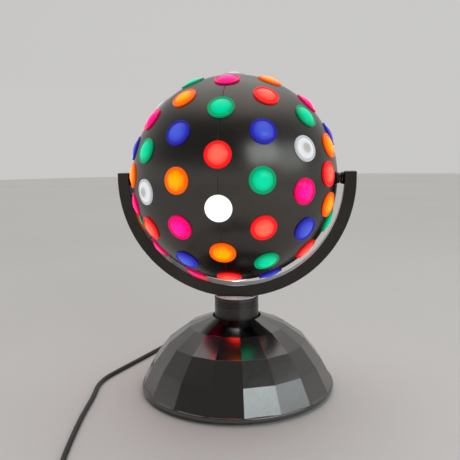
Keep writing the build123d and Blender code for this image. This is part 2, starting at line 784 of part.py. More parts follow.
# Bracket on the axle that carries the motor
bracket_plane = Plane(origin=(-bracket_outer, 0, axis_height), x_dir=(0, 1, 0), z_dir=(1, 0, 0))
motor_plane = Plane(origin=(-bracket_inner, 0, axis_height - motor_center), x_dir=(0, 1, 0), z_dir=(1, 0, 0))
motor_ears = ((-motor_ear_reach, 0), (motor_ear_reach, 0))
ear_places = [(y, z - motor_center) for y, z in motor_ears]
with BuildPart() as motor_bracket:
    with BuildSketch(bracket_plane):
        Circle(bracket_head_radius)
        with Locations(*ear_places):
            Circle(motor_ear_radius + bracket_margin)
        make_hull()
        Circle(pin_radius + running_fit, mode=Mode.SUBTRACT)
        with Locations((0, -gear_center)):
            Circle(motor_shaft_radius + end_play, mode=Mode.SUBTRACT)
        with Locations(*ear_places):
            Circle(motor_screw_radius + running_fit, mode=Mode.SUBTRACT)
    extrude(amount=bracket_thickness)

with BuildPart() as motor_housing:
    with BuildSketch(motor_plane):
        Circle(motor_radius)
    extrude(amount=motor_length)
    with BuildSketch(motor_plane):
        with Locations(*motor_ears):
            Circle(motor_ear_radius)
        Rectangle(2 * motor_ear_reach, 2 * motor_ear_radius)
        with Locations(*motor_ears):
            Circle(motor_screw_radius + hole_fit, mode=Mode.SUBTRACT)
    extrude(amount=motor_ear_thickness)

ear_face = Plane(origin=(-bracket_inner + motor_ear_thickness, 0, axis_height - motor_center),
                 x_dir=(0, 1, 0), z_dir=(1, 0, 0))
with BuildPart() as motor_screws:
    with BuildSketch(ear_face):
        with Locations(*motor_ears):
            Circle(motor_screw_head)
    extrude(amount=motor_screw_head_height)
    with BuildSketch(ear_face):
        with Locations(*motor_ears):
            Circle(motor_screw_radius)
    extrude(amount=-(motor_ear_thickness + bracket_thickness))

# Nut and spacer on the axle between the ball gear and the bracket
with BuildPart() as axle_nut:
    with BuildSketch(Plane(origin=(-spacer_inner, 0, axis_height), x_dir=(0, 1, 0), z_dir=(1, 0, 0))):
        RegularPolygon(axle_nut_flats / 2, 6, major_radius=False)
        Circle(pin_radius + running_fit, mode=Mode.SUBTRACT)
    extrude(amount=axle_nut_height)

with BuildPart() as axle_spacer:
    with BuildSketch(Plane(origin=(-spacer_inner, 0, axis_height), x_dir=(0, 1, 0), z_dir=(-1, 0, 0))):
        Circle(spacer_radius)
        Circle(pin_radius + running_fit, mode=Mode.SUBTRACT)
    extrude(amount=spacer_length)

# Lampholder screwed on the axle, with the bulb in its socket
socket_end = holder_front + holder_socket_depth
cap_tip = holder_front + bulb_cap_depth
cap_end = cap_tip - bulb_cap_length
with BuildPart() as lampholder:
    with BuildSketch(side_planes["left"]):
        with BuildLine():
            Polyline((bracket_inner, pin_radius + running_fit), (bracket_inner, holder_radius),
                     (holder_front, holder_radius), (holder_front, bulb_cap_radius + running_fit),
                     (socket_end, bulb_cap_radius + running_fit), (socket_end, 0),
                     (socket_end + holder_floor, 0), (socket_end + holder_floor, holder_chamber_radius),
                     (axle_inner, holder_chamber_radius), (axle_inner, pin_radius + running_fit), close=True)
        make_face()
    revolve(axis=pin_axis)

with BuildPart() as bulb_cap:
    with BuildSketch(Plane(origin=(-cap_tip, 0, axis_height), z_dir=(1, 0, 0))):
        Circle(bulb_cap_radius)
    extrude(amount=bulb_cap_length)

bulb_center = cap_end - bulb_length + bulb_radius
bulb_neck_height = sqrt(bulb_radius**2 - bulb_neck_radius**2)
with BuildPart() as bulb_glass:
    with BuildSketch(side_planes["left"]):
        with BuildLine():
            Polyline((bulb_center - bulb_radius, 0), (cap_end, 0), (cap_end, bulb_cap_radius),
                     (bulb_center + bulb_neck_height, bulb_neck_radius))
            ThreePointArc((bulb_center + bulb_neck_height, bulb_neck_radius), (bulb_center, bulb_radius),
                          (bulb_center - bulb_radius, 0))
        make_face()
    revolve(axis=pin_axis)

# Cord gland through the boss, with its nut and the terminal block inside
gland_inner = gland_boss_inner - gland_nut_height - gland_tail
gland_flange_end = gland_boss_outer + gland_flange_thickness
gland_tip = gland_flange_end + gland_taper_length
cord_bore = cord_radius + running_fit
with BuildPart() as cord_gland:
    with BuildSketch(gland_plane):
        with BuildLine():
            Polyline((gland_inner, cord_bore), (gland_inner, gland_thread_radius),
                     (gland_boss_outer, gland_thread_radius), (gland_boss_outer, gland_flange_radius),
                     (gland_flange_end, gland_flange_radius), (gland_flange_end, gland_taper_root),
                     (gland_tip, gland_taper_tip), (gland_tip, cord_bore), close=True)
        make_face()
    revolve(axis=gland_axis)

with BuildPart() as gland_nut:
    with BuildSketch(back_plane(gland_boss_inner)):
        RegularPolygon(gland_nut_flats / 2, 6, major_radius=False)
        Circle(gland_thread_radius + running_fit, mode=Mode.SUBTRACT)
    extrude(amount=-gland_nut_height)

block_face = gland_inner - block_gap
block_middle = plate_top + block_height / 2
block_plane = Plane(origin=back * block_face + Vector(0, 0, block_middle), x_dir=across, z_dir=back)
block_top = Plane(origin=back * (block_face - block_length / 2) + Vector(0, 0, plate_top + block_height),
                  x_dir=across, z_dir=(0, 0, 1))
with BuildPart() as terminal_block:
    with BuildSketch(block_plane):
        Rectangle(block_width, block_height)
    extrude(amount=-block_length)
    with BuildSketch(block_top):
        with GridLocations(block_screw_spacing, 1, 2, 1):
            Circle(block_screw_radius)
    extrude(amount=-block_height / 2, mode=Mode.SUBTRACT)


def corner_radii(points):
    """Radius of the arc at each inner point of a route, which takes a share of the shorter run beside it."""
    radii = []
    for before, here, after in zip(points, points[1:], points[2:]):
        one = Vector(here) - Vector(before)
        two = Vector(after) - Vector(here)
        half_turn = radians(one.get_angle(two)) / 2
        radii.append(corner_share * min(one.length, two.length) / tan(half_turn))
    return radii


# Free stretch of the cord: out of the gland and round the left of the base to the switch
route_back = gland_tip + cord_exit_run
cord_route = [
    back * block_face + Vector(0, 0, gland_height),
    back * route_back + Vector(0, 0, gland_height),
    (-22, route_back + 19, 8),
    (-59, route_back + 26, cord_radius),
    (-94, route_back, cord_radius),
    (-112, 103, cord_radius),
    (-125, 62, cord_radius),
    (-139, 22, cord_radius),
    (-151, -16, cord_radius),
    (-142, -57, cord_radius),
    (-136, -101, cord_radius),
    (-127, -146, cord_radius),
    (-117, -190, cord_radius),
    (-98, switch_y, switch_split),
    (switch_start + switch_entry, switch_y, switch_split),
]
stretch_radii = corner_radii(cord_route)
with BuildPart() as cord_stretch:
    with BuildLine() as stretch_line:
        FilletPolyline(*cord_route, radius=stretch_radii)
    with BuildSketch(back_plane(block_face)):
        Circle(cord_radius)
    sweep(path=stretch_line.wire())
stretch_length = stretch_line.wire().length
stretch_share = cord_stretch.part.volume / (pi * cord_radius**2 * stretch_length)
print("stretch radii", [round(radius, 1) for radius in stretch_radii])
print(f"stretch length {stretch_length:.1f}, volume against section times length {stretch_share:.4f}")

# Hand switch: a lower and an upper half that part at the cord's height
switch_middle = switch_start + switch_length / 2
switch_end = switch_start + switch_length
switch_screw_places = ((-switch_screw_reach, 0), (switch_screw_reach, 0))
rocker_half_slot = rocker_length / 2 + rocker_slot_play


def switch_plane(height):
    """Level plane over the middle of the switch."""
    return Plane(origin=(switch_middle, switch_y, height))


def cord_holes():
    """Holes for the cord through both ends of the switch."""
    with BuildSketch(Plane(origin=(switch_middle, switch_y, switch_split), z_dir=(1, 0, 0))) as hole:
        Circle(cord_bore)
    extrude(hole.sketch, amount=switch_length / 2, both=True, mode=Mode.SUBTRACT)


with BuildPart() as switch_base:
    with BuildSketch(switch_plane(0)):
        RectangleRounded(switch_length, switch_width, switch_corner)
    extrude(amount=switch_split)
    fillet(switch_base.faces().sort_by(Axis.Z)[0].edges(), radius=switch_edge)
    with BuildSketch(switch_plane(switch_wall)):
        RectangleRounded(switch_length - 2 * switch_wall, switch_width - 2 * switch_wall,
                         switch_corner - switch_wall)
    extrude(amount=switch_split, mode=Mode.SUBTRACT)
    with BuildSketch(switch_plane(0)):
        with Locations(*switch_screw_places):
            Circle(switch_post_radius)
    extrude(amount=switch_split - 2 * cord_radius)
    with BuildSketch(switch_plane(0)):
        with Locations(*switch_screw_places):
            Circle(switch_screw_head + hole_fit)
    extrude(amount=switch_screw_head_height, mode=Mode.SUBTRACT)
    with BuildSketch(switch_plane(0)):
        with Locations(*switch_screw_places):
            Circle(switch_screw_radius + hole_fit)
    extrude(amount=switch_split, mode=Mode.SUBTRACT)
    cord_holes()

rocker_plane = Plane(origin=(switch_middle, switch_y, rocker_axis_height), x_dir=(1, 0, 0), z_dir=(0, -1, 0))
with BuildPart() as switch_cover:
    with BuildSketch(switch_plane(switch_split)):
        RectangleRounded(switch_length, switch_width, switch_corner)
    extrude(amount=switch_height - switch_split)
    fillet(switch_cover.faces().sort_by(Axis.Z)[-1].edges(), radius=switch_edge)
    with BuildSketch(switch_plane(switch_split)):
        RectangleRounded(switch_length - 2 * switch_wall, switch_width - 2 * switch_wall,
                         switch_corner - switch_wall)
    extrude(amount=switch_height - switch_split - switch_wall, mode=Mode.SUBTRACT)
    with BuildSketch(switch_plane(switch_split - 2 * cord_radius)):
        with Locations(*switch_screw_places):
            Circle(switch_post_radius)
    extrude(amount=switch_height - switch_wall - switch_split + 2 * cord_radius)
    with BuildSketch(switch_plane(switch_height - switch_wall)):
        Rectangle(rocker_lug_length, rocker_width + 4 * rocker_pin_reach)
    extrude(amount=-rocker_lug_height)
    with BuildSketch(switch_plane(switch_split)):
        Rectangle(2 * rocker_half_slot, rocker_width + 2 * end_play)
    extrude(amount=switch_height, mode=Mode.SUBTRACT)
    with BuildSketch(rocker_plane):
        Circle(rocker_pin_radius + running_fit)
    extrude(amount=rocker_width / 2 + rocker_pin_reach + end_play, both=True, mode=Mode.SUBTRACT)
    with BuildSketch(switch_plane(switch_split - 2 * cord_radius)):
        with Locations(*switch_screw_places):
            Circle(switch_screw_radius + running_fit)
    extrude(amount=switch_screw_top - switch_split + 2 * cord_radius, mode=Mode.SUBTRACT)
    cord_holes()

with BuildPart() as switch_screws:
    with BuildSketch(switch_plane(switch_screw_head_height)):
        with Locations(*switch_screw_places):
            Circle(switch_screw_head)
    extrude(amount=-switch_screw_head_height + hole_fit)
    with BuildSketch(switch_plane(switch_screw_head_height)):
        with Locations(*switch_screw_places):
            Circle(switch_screw_radius)
    extrude(amount=switch_screw_top - switch_screw_head_height)

# Rocker: two shallow faces that meet in a dip over its pin, pressed down at one end
tilt = radians(rocker_tilt)
tilted_plane = Plane(origin=rocker_plane.origin, x_dir=(cos(tilt), 0, sin(tilt)), z_dir=(0, -1, 0))
with BuildPart() as switch_rocker:
    with BuildSketch(tilted_plane):
        with BuildLine():
            rocker_half = rocker_length / 2
            Polyline((-rocker_half, rocker_rise), (0, rocker_dip), (rocker_half, rocker_rise),
                     (rocker_half, 0), (rocker_pin_radius, -rocker_drop), (-rocker_pin_radius, -rocker_drop),
                     (-rocker_half, 0), close=True)
        make_face()
    extrude(amount=rocker_width / 2, both=True)
    with BuildSketch(rocker_plane):
        Circle(rocker_pin_radius)
    extrude(amount=rocker_width / 2 + rocker_pin_reach, both=True)

# Coil: the cord spirals in on the lower layer, climbs in half a turn and spirals out on the upper layer
coil_pitch = 2 * cord_radius + coil_gap
coil_x = switch_end + 2 * cord_radius + coil_lead_drop + coil_lead_run
coil_y = switch_y - coil_outer_radius
coil_inner_radius = coil_outer_radius - coil_pitch * coil_turns_per_layer
low_layer = tie_thickness + running_fit + cord_radius
high_layer = low_layer + coil_pitch
climb_turns = 0.5
coil_turns = 2 * coil_turns_per_layer + climb_turns


def coil_place(turn):
    """Radius and height of the coil's middle line after a number of turns, and their rates for each turn."""
    if turn <= coil_turns_per_layer:
        return coil_outer_radius - coil_pitch * turn, low_layer, -coil_pitch, 0.0
    if turn >= coil_turns_per_layer + climb_turns:
        return coil_outer_radius - coil_pitch * (coil_turns - turn), high_layer, coil_pitch, 0.0
    share = (turn - coil_turns_per_layer) / climb_turns
    radius = coil_inner_radius - coil_pitch * climb_turns * share * (1 - share)
    height = low_layer + coil_pitch * share**2 * (3 - 2 * share)
    return radius, height, -coil_pitch * (1 - 2 * share), coil_pitch * 6 * share * (1 - share) / climb_turns


def coil_node(turn):
    """Point and direction of the coil's middle line; it winds clockwise from its side next to the lamp."""
    radius, height, radius_rate, height_rate = coil_place(turn)
    angle = radians(90 - 360 * turn)
    outward = Vector(cos(angle), sin(angle), 0)
    onward = Vector(sin(angle), -cos(angle), 0)
    point = Vector(coil_x, coil_y, height) + outward * radius
    direction = outward * radius_rate + onward * (2 * pi * radius) + Vector(0, 0, height_rate)
    return point, direction.normalized()


def biarc(start, start_direction, end, end_direction):
    """Two arcs that leave one point and reach another in given directions and meet smoothly."""
    chord = end - start
    both_ways = start_direction + end_direction
    bend = 2 * (1 - start_direction.dot(end_direction))
    along = chord.dot(both_ways)
    if bend < 1e-9:
        reach = chord.dot(chord) / (4 * chord.dot(end_direction))
    else:
        reach = (sqrt(along**2 + bend * chord.dot(chord)) - along) / bend
    joint = (start + start_direction * reach + end - end_direction * reach) / 2
    first = TangentArc(start, joint, tangent=start_direction)
    second = TangentArc(joint, end, tangent=first % 1)
    return [first, second]


quarter_turns = round(4 * coil_turns)
lead_start = Vector(switch_end - switch_entry, switch_y, switch_split)
lead_bend = Vector(switch_end + 2 * cord_radius, switch_y, switch_split)
lead_low = Vector(coil_x - coil_lead_run, switch_y, low_layer)
straight_on = Vector(1, 0, 0)
coil_nodes = [coil_node(quarter / 4) for quarter in range(quarter_turns + 1)]
coil_nodes[0] = (coil_nodes[0][0], straight_on)
coil_nodes[-1] = (coil_nodes[-1][0], straight_on)
plug_cord_end = coil_nodes[-1][0] + straight_on * plug_lead
with BuildPart() as cord_coil:
    with BuildLine() as coil_line:
        coil_edges = [Line(lead_start, lead_bend)]
        coil_edges.extend(biarc(lead_bend, straight_on, lead_low, straight_on))
        coil_edges.append(Line(lead_low, coil_nodes[0][0]))
        for (start, start_direction), (end, end_direction) in zip(coil_nodes, coil_nodes[1:]):
            coil_edges.extend(biarc(start, start_direction, end, end_direction))
        coil_edges.append(Line(coil_nodes[-1][0], plug_cord_end))
    with BuildSketch(Plane(origin=lead_start, z_dir=straight_on)):
        Circle(cord_radius)
    sweep(path=coil_line.wire())
coil_length = sum(edge.length for edge in coil_edges)
coil_share = cord_coil.part.volume / (pi * cord_radius**2 * coil_length)

samples_per_edge = 24
coil_points = [edge @ (step / samples_per_edge) for edge in coil_edges for step in range(samples_per_edge)]
own_reach = 5 * samples_per_edge
nearest = min(
    hypot(one.X - two.X, one.Y - two.Y, one.Z - two.Z)
    for index, one in enumerate(coil_points)
    for two in coil_points[index + own_reach:]
)
print(f"coil length {coil_length:.1f}, volume against section times length {coil_share:.4f}")
print(f"coil least gap to itself {nearest - 2 * cord_radius:.2f}")
print(f"whole cord {stretch_length + coil_length + switch_length - 2 * switch_entry:.0f}")

# Tie round the coil's turns on the side away from the switch
tie_inner_edge = coil_inner_radius - cord_radius - tie_play
tie_outer_edge = coil_outer_radius + cord_radius + tie_play
tie_top = high_layer + cord_radius + running_fit
tie_middle = (tie_inner_edge + tie_outer_edge) / 2
tie_plane = Plane(origin=(coil_x, coil_y, 0), x_dir=(1, 0, 0), z_dir=(0, -1, 0))
with BuildPart() as coil_tie:
    with BuildSketch(tie_plane):
        with Locations((tie_middle, (tie_top + tie_thickness) / 2)):
            RectangleRounded(tie_outer_edge - tie_inner_edge + 2 * tie_thickness, tie_top + tie_thickness,
                             2 * tie_thickness)
            RectangleRounded(tie_outer_edge - tie_inner_edge, tie_top - tie_thickness, tie_thickness,
                             mode=Mode.SUBTRACT)
    extrude(amount=tie_width / 2, both=True)
    with BuildSketch(tie_plane):
        with Locations((tie_outer_edge + tie_thickness + tie_head_length / 2 - running_fit, tie_top / 2)):
            Rectangle(tie_head_length, tie_head_height)
    extrude(amount=tie_width / 2, both=True)

# Plug with a tapered sleeve and two round pins, lying beside the coil
plug_sleeve_end = plug_cord_end.X + plug_sleeve_length
plug_end = plug_sleeve_end + plug_length
plug_plane = Plane(origin=(plug_cord_end.X, switch_y, high_layer), x_dir=(1, 0, 0), z_dir=(0, -1, 0))
with BuildPart() as plug_body:
    with BuildSketch(Plane(origin=((plug_sleeve_end + plug_end) / 2, switch_y, 0))):
        RectangleRounded(plug_length, plug_width, plug_corner)
    extrude(amount=2 * high_layer)
    fillet(plug_body.faces().sort_by(Axis.Z)[0].edges(), radius=plug_edge)
    fillet(plug_body.faces().sort_by(Axis.Z)[-1].edges(), radius=plug_edge)
    with BuildSketch(plug_plane):
        with BuildLine():
            Polyline((0, 0), (0, plug_sleeve_tip), (plug_sleeve_length, plug_sleeve_root),
                     (plug_sleeve_length + plug_corner, plug_sleeve_root),
                     (plug_sleeve_length + plug_corner, 0), close=True)
        make_face()
    revolve(axis=Axis((0, switch_y, high_layer), (1, 0, 0)))
    with BuildSketch(Plane(origin=(plug_end, switch_y, high_layer), x_dir=(0, 1, 0), z_dir=(1, 0, 0))):
        with GridLocations(plug_pin_spacing, 1, 2, 1):
            Circle(plug_pin_radius)
    extrude(amount=-plug_pin_root, mode=Mode.SUBTRACT)

with BuildPart() as plug_pins:
    with BuildSketch(Plane(origin=(plug_end - plug_pin_root, switch_y, high_layer), x_dir=(0, 1, 0),
                           z_dir=(1, 0, 0))):
        with GridLocations(plug_pin_spacing, 1, 2, 1):
            Circle(plug_pin_radius)
    extrude(amount=plug_pin_root + plug_pin_length)
    fillet(plug_pins.faces().sort_by(Axis.X)[-2:].edges(), radius=plug_pin_radius / 2)

pieces = {
    "base_dome": base_dome,
    "base_plate": base_plate,
    "rubber_feet": rubber_feet,
    "base_weight": base_weight,
    "weight_screws": weight_screws,
    "center_rod": center_rod,
    "rod_nuts": rod_nuts,
    "rod_washers": rod_washers,
    "neck_tube": neck_tube,
    "yoke_frame": yoke_frame,
    "yoke_cover_left": yoke_covers["left"],
    "yoke_cover_right": yoke_covers["right"],
    "yoke_screws": yoke_screws,
    "ball_shell_left": ball_shells["left"],
    "ball_shell_right": ball_shells["right"],
    "seam_ring": seam_ring,
    "hub_bush_left": hub_bushes["left"],
    "hub_bush_right": hub_bushes["right"],
    "lamp_axle": lamp_axle,
    "pivot_pin": pivot_pin,
    "pin_clip": pin_clip,
    "arm_nuts": arm_nuts,
    "ball_gear": ball_gear,
    "gear_screws": gear_screws,
    "drive_pinion": drive_pinion,
    "motor_bracket": motor_bracket,
    "motor_housing": motor_housing,
    "motor_screws": motor_screws,
    "axle_nut": axle_nut,
    "axle_spacer": axle_spacer,
    "lampholder": lampholder,
    "bulb_cap": bulb_cap,
    "bulb_glass": bulb_glass,
    "cord_gland": cord_gland,
    "gland_nut": gland_nut,
    "terminal_block": terminal_block,
    "cord_stretch": cord_stretch,
    "switch_base": switch_base,
    "switch_cover": switch_cover,
    "switch_screws": switch_screws,
    "switch_rocker": switch_rocker,
    "cord_coil": cord_coil,
    "coil_tie": coil_tie,
    "plug_body": plug_body,
    "plug_pins": plug_pins,
}
pieces.update(lens_groups)
for name, piece in pieces.items():
    piece.part.label = name
    export_step(piece.part, f"parts/{name}.step")
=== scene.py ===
import math

import bmesh
import bpy
import numpy as np
from mathutils import Matrix


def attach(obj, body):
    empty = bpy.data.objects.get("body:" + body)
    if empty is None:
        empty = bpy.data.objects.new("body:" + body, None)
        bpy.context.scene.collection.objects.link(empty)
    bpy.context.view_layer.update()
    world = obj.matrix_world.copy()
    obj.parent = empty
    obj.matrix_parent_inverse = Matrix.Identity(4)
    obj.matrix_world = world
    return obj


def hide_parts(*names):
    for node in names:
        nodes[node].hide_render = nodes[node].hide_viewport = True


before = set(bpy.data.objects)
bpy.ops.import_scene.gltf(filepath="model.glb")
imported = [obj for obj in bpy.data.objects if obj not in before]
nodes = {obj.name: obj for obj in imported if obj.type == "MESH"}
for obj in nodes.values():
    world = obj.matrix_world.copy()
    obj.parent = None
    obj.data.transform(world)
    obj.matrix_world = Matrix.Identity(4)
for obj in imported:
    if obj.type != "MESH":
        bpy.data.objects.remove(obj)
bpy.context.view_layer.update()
scene = bpy.context.scene
scene.view_settings.view_transform = "Standard"

mm = 0.001
cord_radius = 2.4
ball_radius = 105.0
pin_height = 223.0
ball_middle = np.array((0.0, 0.0, pin_height))


# Camera

def photo_camera():
    """Camera at the photo's place.

    It is turned by its yaw about Z, pitched down, then rolled about its sight line.
    """
    place = np.array((87.7, -602.5, 250.1))
    yaw, pitch, roll = np.radians((8.84, 7.57, 0.82))
    photo_width = 460.0
    focal_pixels = 583.7
    level = np.array((-math.sin(yaw), math.cos(yaw), 0.0))
    right = np.array((math.cos(yaw), math.sin(yaw), 0.0))
    up = np.array((0.0, 0.0, 1.0))
    ahead = level * math.cos(pitch) - up * math.sin(pitch)
    down = -(up * math.cos(pitch) + level * math.sin(pitch))
    across = right * math.cos(roll) + down * math.sin(roll)
    below = down * math.cos(roll) - right * math.sin(roll)
    optics = bpy.data.cameras.new("photo_camera")
    optics.sensor_width = 36.0
    optics.lens = focal_pixels * optics.sensor_width / photo_width
    optics.clip_start = 0.01
    camera = bpy.data.objects.new("photo_camera", optics)
    scene.collection.objects.link(camera)
    turn = Matrix(np.column_stack((across, -below, -ahead)).tolist()).to_4x4()
    camera.matrix_world = Matrix.Translation(place * mm) @ turn
    scene.camera = camera


photo_camera()


# Materials

cloud_low = 0.3
cloud_high = 0.7


class Finish:
    """One node material round a Principled shader, with short calls for the nodes the finishes share."""

    def __init__(self, name, colour, metallic, roughness, **sockets):
        self.material = bpy.data.materials.new(name)
        self.material.use_nodes = True
        self.tree = self.material.node_tree
        self.shader = self.tree.nodes["Principled BSDF"]
        self.shader.inputs["Base Color"].default_value = (*colour, 1.0)
        self.shader.inputs["Metallic"].default_value = metallic
        self.shader.inputs["Roughness"].default_value = roughness
        for socket, value in sockets.items():
            self.shader.inputs[socket.replace("_", " ")].default_value = value

    def node(self, kind):
        return self.tree.nodes.new(kind)

    def link(self, source, target):
        self.tree.links.new(source, target)

    def place(self, stretch=(1.0, 1.0, 1.0)):
        """The piece's own coordinates in metres, stretched along its axes."""
        coordinates = self.node("ShaderNodeTexCoord")
        mapping = self.node("ShaderNodeMapping")
        mapping.inputs["Scale"].default_value = stretch
        self.link(coordinates.outputs["Object"], mapping.inputs["Vector"])
        return mapping.outputs["Vector"]

    def cloud(self, scale, detail=4.0, stretch=(1.0, 1.0, 1.0)):
        """Soft noise from 0 to 1 with so many lumps to the metre."""
        noise = self.node("ShaderNodeTexNoise")
        noise.inputs["Scale"].default_value = scale
        noise.inputs["Detail"].default_value = detail
        self.link(self.place(stretch), noise.inputs["Vector"])
        return noise.outputs["Fac"]

    def grains(self, scale):
        """Distance to the nearest of many scattered points: the pitted grain of a moulded face."""
        cells = self.node("ShaderNodeTexVoronoi")
        cells.inputs["Scale"].default_value = scale
        self.link(self.place(), cells.inputs["Vector"])
        return cells.outputs["Distance"]

    def rings(self, scale, direction):
        """Fine lines square to one axis, as a lathe leaves them."""
        wave = self.node("ShaderNodeTexWave")
        wave.bands_direction = direction
        wave.inputs["Scale"].default_value = scale
        wave.inputs["Distortion"].default_value = 0.6
        self.link(self.place(), wave.inputs["Vector"])
        return wave.outputs["Fac"]

    def attribute(self, name):
        """A number that the mesh carries at each of its points."""
        reader = self.node("ShaderNodeAttribute")
        reader.attribute_name = name
        return reader.outputs["Fac"]

    def gloss(self, factor, low, high):
        """Lets the roughness run from low to high over the usual range of a cloud."""
        remap = self.node("ShaderNodeMapRange")
        limits = {"From Min": cloud_low, "From Max": cloud_high, "To Min": low, "To Max": high}
        for socket, value in limits.items():
            remap.inputs[socket].default_value = value
        self.link(factor, remap.inputs["Value"])
        self.link(remap.outputs["Result"], self.shader.inputs["Roughness"])

    def ramp(self, factor, stops):
        """Colours a factor by a ramp of (place, colour) stops."""
        ramp = self.node("ShaderNodeValToRGB")
        elements = ramp.color_ramp.elements
        while len(elements) < len(stops):
            elements.new(0.5)
        for element, (place, colour) in zip(elements, stops):
            element.position = place
            element.color = (*colour, 1.0)
        self.link(factor, ramp.inputs["Fac"])
        return ramp.outputs["Color"]

    def tone(self, factor, dark, light):
        """Colours the finish from dark to light over the usual range of a cloud."""
        shades = self.ramp(factor, [(cloud_low, dark), (cloud_high, light)])
        self.link(shades, self.shader.inputs["Base Color"])

    def relief(self, height, depth):
        """Turns a factor into bumps of so many millimetres."""
        bump = self.node("ShaderNodeBump")
        bump.inputs["Strength"].default_value = 1.0
        bump.inputs["Distance"].default_value = depth * mm
        self.link(height, bump.inputs["Height"])
        self.link(bump.outputs["Normal"], self.shader.inputs["Normal"])


def grey(level, warmth=0.0):
    """A grey that leans to red for a warmth above 0 and to blue below it."""
    return (level * (1 + warmth), level, level * (1 - warmth))


def smoked_mirror():
    """Dark mirror coat of the ball, a little cloudy and with soft handling marks."""
    finish = Finish("smoked_mirror", grey(0.09, 0.05), metallic=1.0, roughness=0.27)
    finish.tone(finish.cloud(9.0), grey(0.08, 0.12), grey(0.105, 0.04))
    finish.gloss(finish.cloud(30.0, 2.0), 0.24, 0.3)
    finish.relief(finish.cloud(40.0, 1.0), depth=0.01)
    return finish.material


def gunmetal():
    """Satin dark metal of the dome: fine rolled streaks down the facets and a broken gloss."""
    finish = Finish("gunmetal", grey(0.155), metallic=1.0, roughness=0.16)
    finish.tone(finish.cloud(24.0, 6.0), grey(0.145, 0.04), grey(0.165, 0.02))
    finish.gloss(finish.cloud(420.0, 3.0, (1.0, 1.0, 0.12)), 0.14, 0.19)
    finish.relief(finish.cloud(900.0, 2.0), depth=0.006)
    return finish.material


def black_chrome():
    """Very dark polished metal of the yoke."""
    finish = Finish("black_chrome", grey(0.05), metallic=1.0, roughness=0.18)
    finish.tone(finish.cloud(14.0, 5.0), grey(0.042, 0.12), grey(0.06, 0.08))
    finish.gloss(finish.cloud(160.0, 4.0), 0.14, 0.22)
    finish.relief(finish.cloud(500.0, 2.0), depth=0.006)
    return finish.material


def turned_black():
    """Black coated neck: the lathe's fine rings under the coat draw each light into an upright streak."""
    finish = Finish("turned_black", grey(0.08), metallic=1.0, roughness=0.34, Anisotropic=0.9)
    upright = finish.node("ShaderNodeCombineXYZ")
    upright.inputs["Z"].default_value = 1.0
    finish.link(upright.outputs["Vector"], finish.shader.inputs["Tangent"])
    finish.tone(finish.cloud(40.0), grey(0.07, 0.06), grey(0.09, 0.04))
    finish.gloss(finish.cloud(300.0, 3.0, (0.1, 0.1, 1.0)), 0.32, 0.4)
    finish.relief(finish.rings(320.0, "Z"), depth=0.03)
    return finish.material


def bare_steel():
    """Zinc plated steel of screws, nuts and plates, dulled in patches."""
    finish = Finish("bare_steel", grey(0.5), metallic=1.0, roughness=0.3)
    finish.tone(finish.cloud(220.0, 6.0), grey(0.42, 0.02), grey(0.62, -0.02))
    finish.gloss(finish.cloud(500.0, 4.0), 0.24, 0.42)
    finish.relief(finish.cloud(1500.0, 2.0), depth=0.01)
    return finish.material


def cast_iron():
    """Painted cast ring, rough from its mould."""
    finish = Finish("cast_iron", grey(0.1), metallic=0.4, roughness=0.6)
    finish.tone(finish.cloud(120.0, 8.0), grey(0.07, 0.05), grey(0.13, 0.02))
    finish.gloss(finish.cloud(300.0, 5.0), 0.5, 0.72)
    finish.relief(finish.grains(700.0), depth=0.15)
    return finish.material


def satin_plate():
    """Pale satin plating of the yoke's foot, which catches the light of the lens above it."""
    finish = Finish("satin_plate", grey(0.82, 0.02), metallic=0.0, roughness=0.5)
    finish.tone(finish.cloud(90.0, 4.0), grey(0.78, 0.03), grey(0.86, 0.02))
    finish.gloss(finish.cloud(500.0, 3.0), 0.42, 0.56)
    finish.relief(finish.cloud(800.0, 2.0), depth=0.01)
    return finish.material


def pressed_can():
    """Drawn steel case of the motor with faint draw lines along it."""
    finish = Finish("pressed_can", grey(0.55), metallic=1.0, roughness=0.28)
    finish.tone(finish.cloud(150.0, 6.0, (0.1, 1.0, 1.0)), grey(0.47), grey(0.6))
    finish.gloss(finish.cloud(600.0, 3.0, (0.05, 1.0, 1.0)), 0.2, 0.36)
    finish.relief(finish.cloud(900.0, 2.0, (0.05, 1.0, 1.0)), depth=0.01)
    return finish.material


def plain_brass():
    """Brass of pins and cap, slightly tarnished."""
    finish = Finish("plain_brass", (0.75, 0.56, 0.26), metallic=1.0, roughness=0.25)
    finish.tone(finish.cloud(180.0, 6.0), (0.62, 0.45, 0.2), (0.8, 0.62, 0.3))
    finish.gloss(finish.cloud(500.0, 4.0), 0.2, 0.36)
    finish.relief(finish.cloud(1200.0, 2.0), depth=0.01)
    return finish.material


def moulded(name, dark, light, gloss, grain):
    """Moulded plastic or rubber: fine pits, a cloudy tone and a gloss that breaks up with the grain."""
    finish = Finish(name, light, metallic=0.0, roughness=gloss)
    finish.tone(finish.cloud(60.0, 5.0), dark, light)
    finish.gloss(finish.cloud(700.0, 3.0), gloss - 0.06, gloss + 0.1)
    finish.relief(finish.grains(1100.0), depth=grain)
    return finish.material


def bulb_wall():
    """Clear glass of the bulb with a trace of waviness."""
    finish = Finish("bulb_wall", grey(0.95, 0.02), metallic=0.0, roughness=0.04,
                    Transmission_Weight=1.0, IOR=1.5)
    finish.gloss(finish.cloud(80.0, 2.0), 0.02, 0.07)
    finish.relief(finish.cloud(120.0, 2.0), depth=0.03)
    return finish.material


def lens_body(name, colour):
    """Dark smooth plastic of a lens with a trace of waviness; its glow is put in by the caller."""
    finish = Finish("lens_" + name, colour, metallic=0.0, roughness=0.12,
                    Emission_Strength=1.0, Specular_IOR_Level=0.15)
    finish.gloss(finish.cloud(260.0, 3.0), 0.08, 0.18)
    finish.relief(finish.cloud(140.0, 2.0), depth=0.05)
    return finish


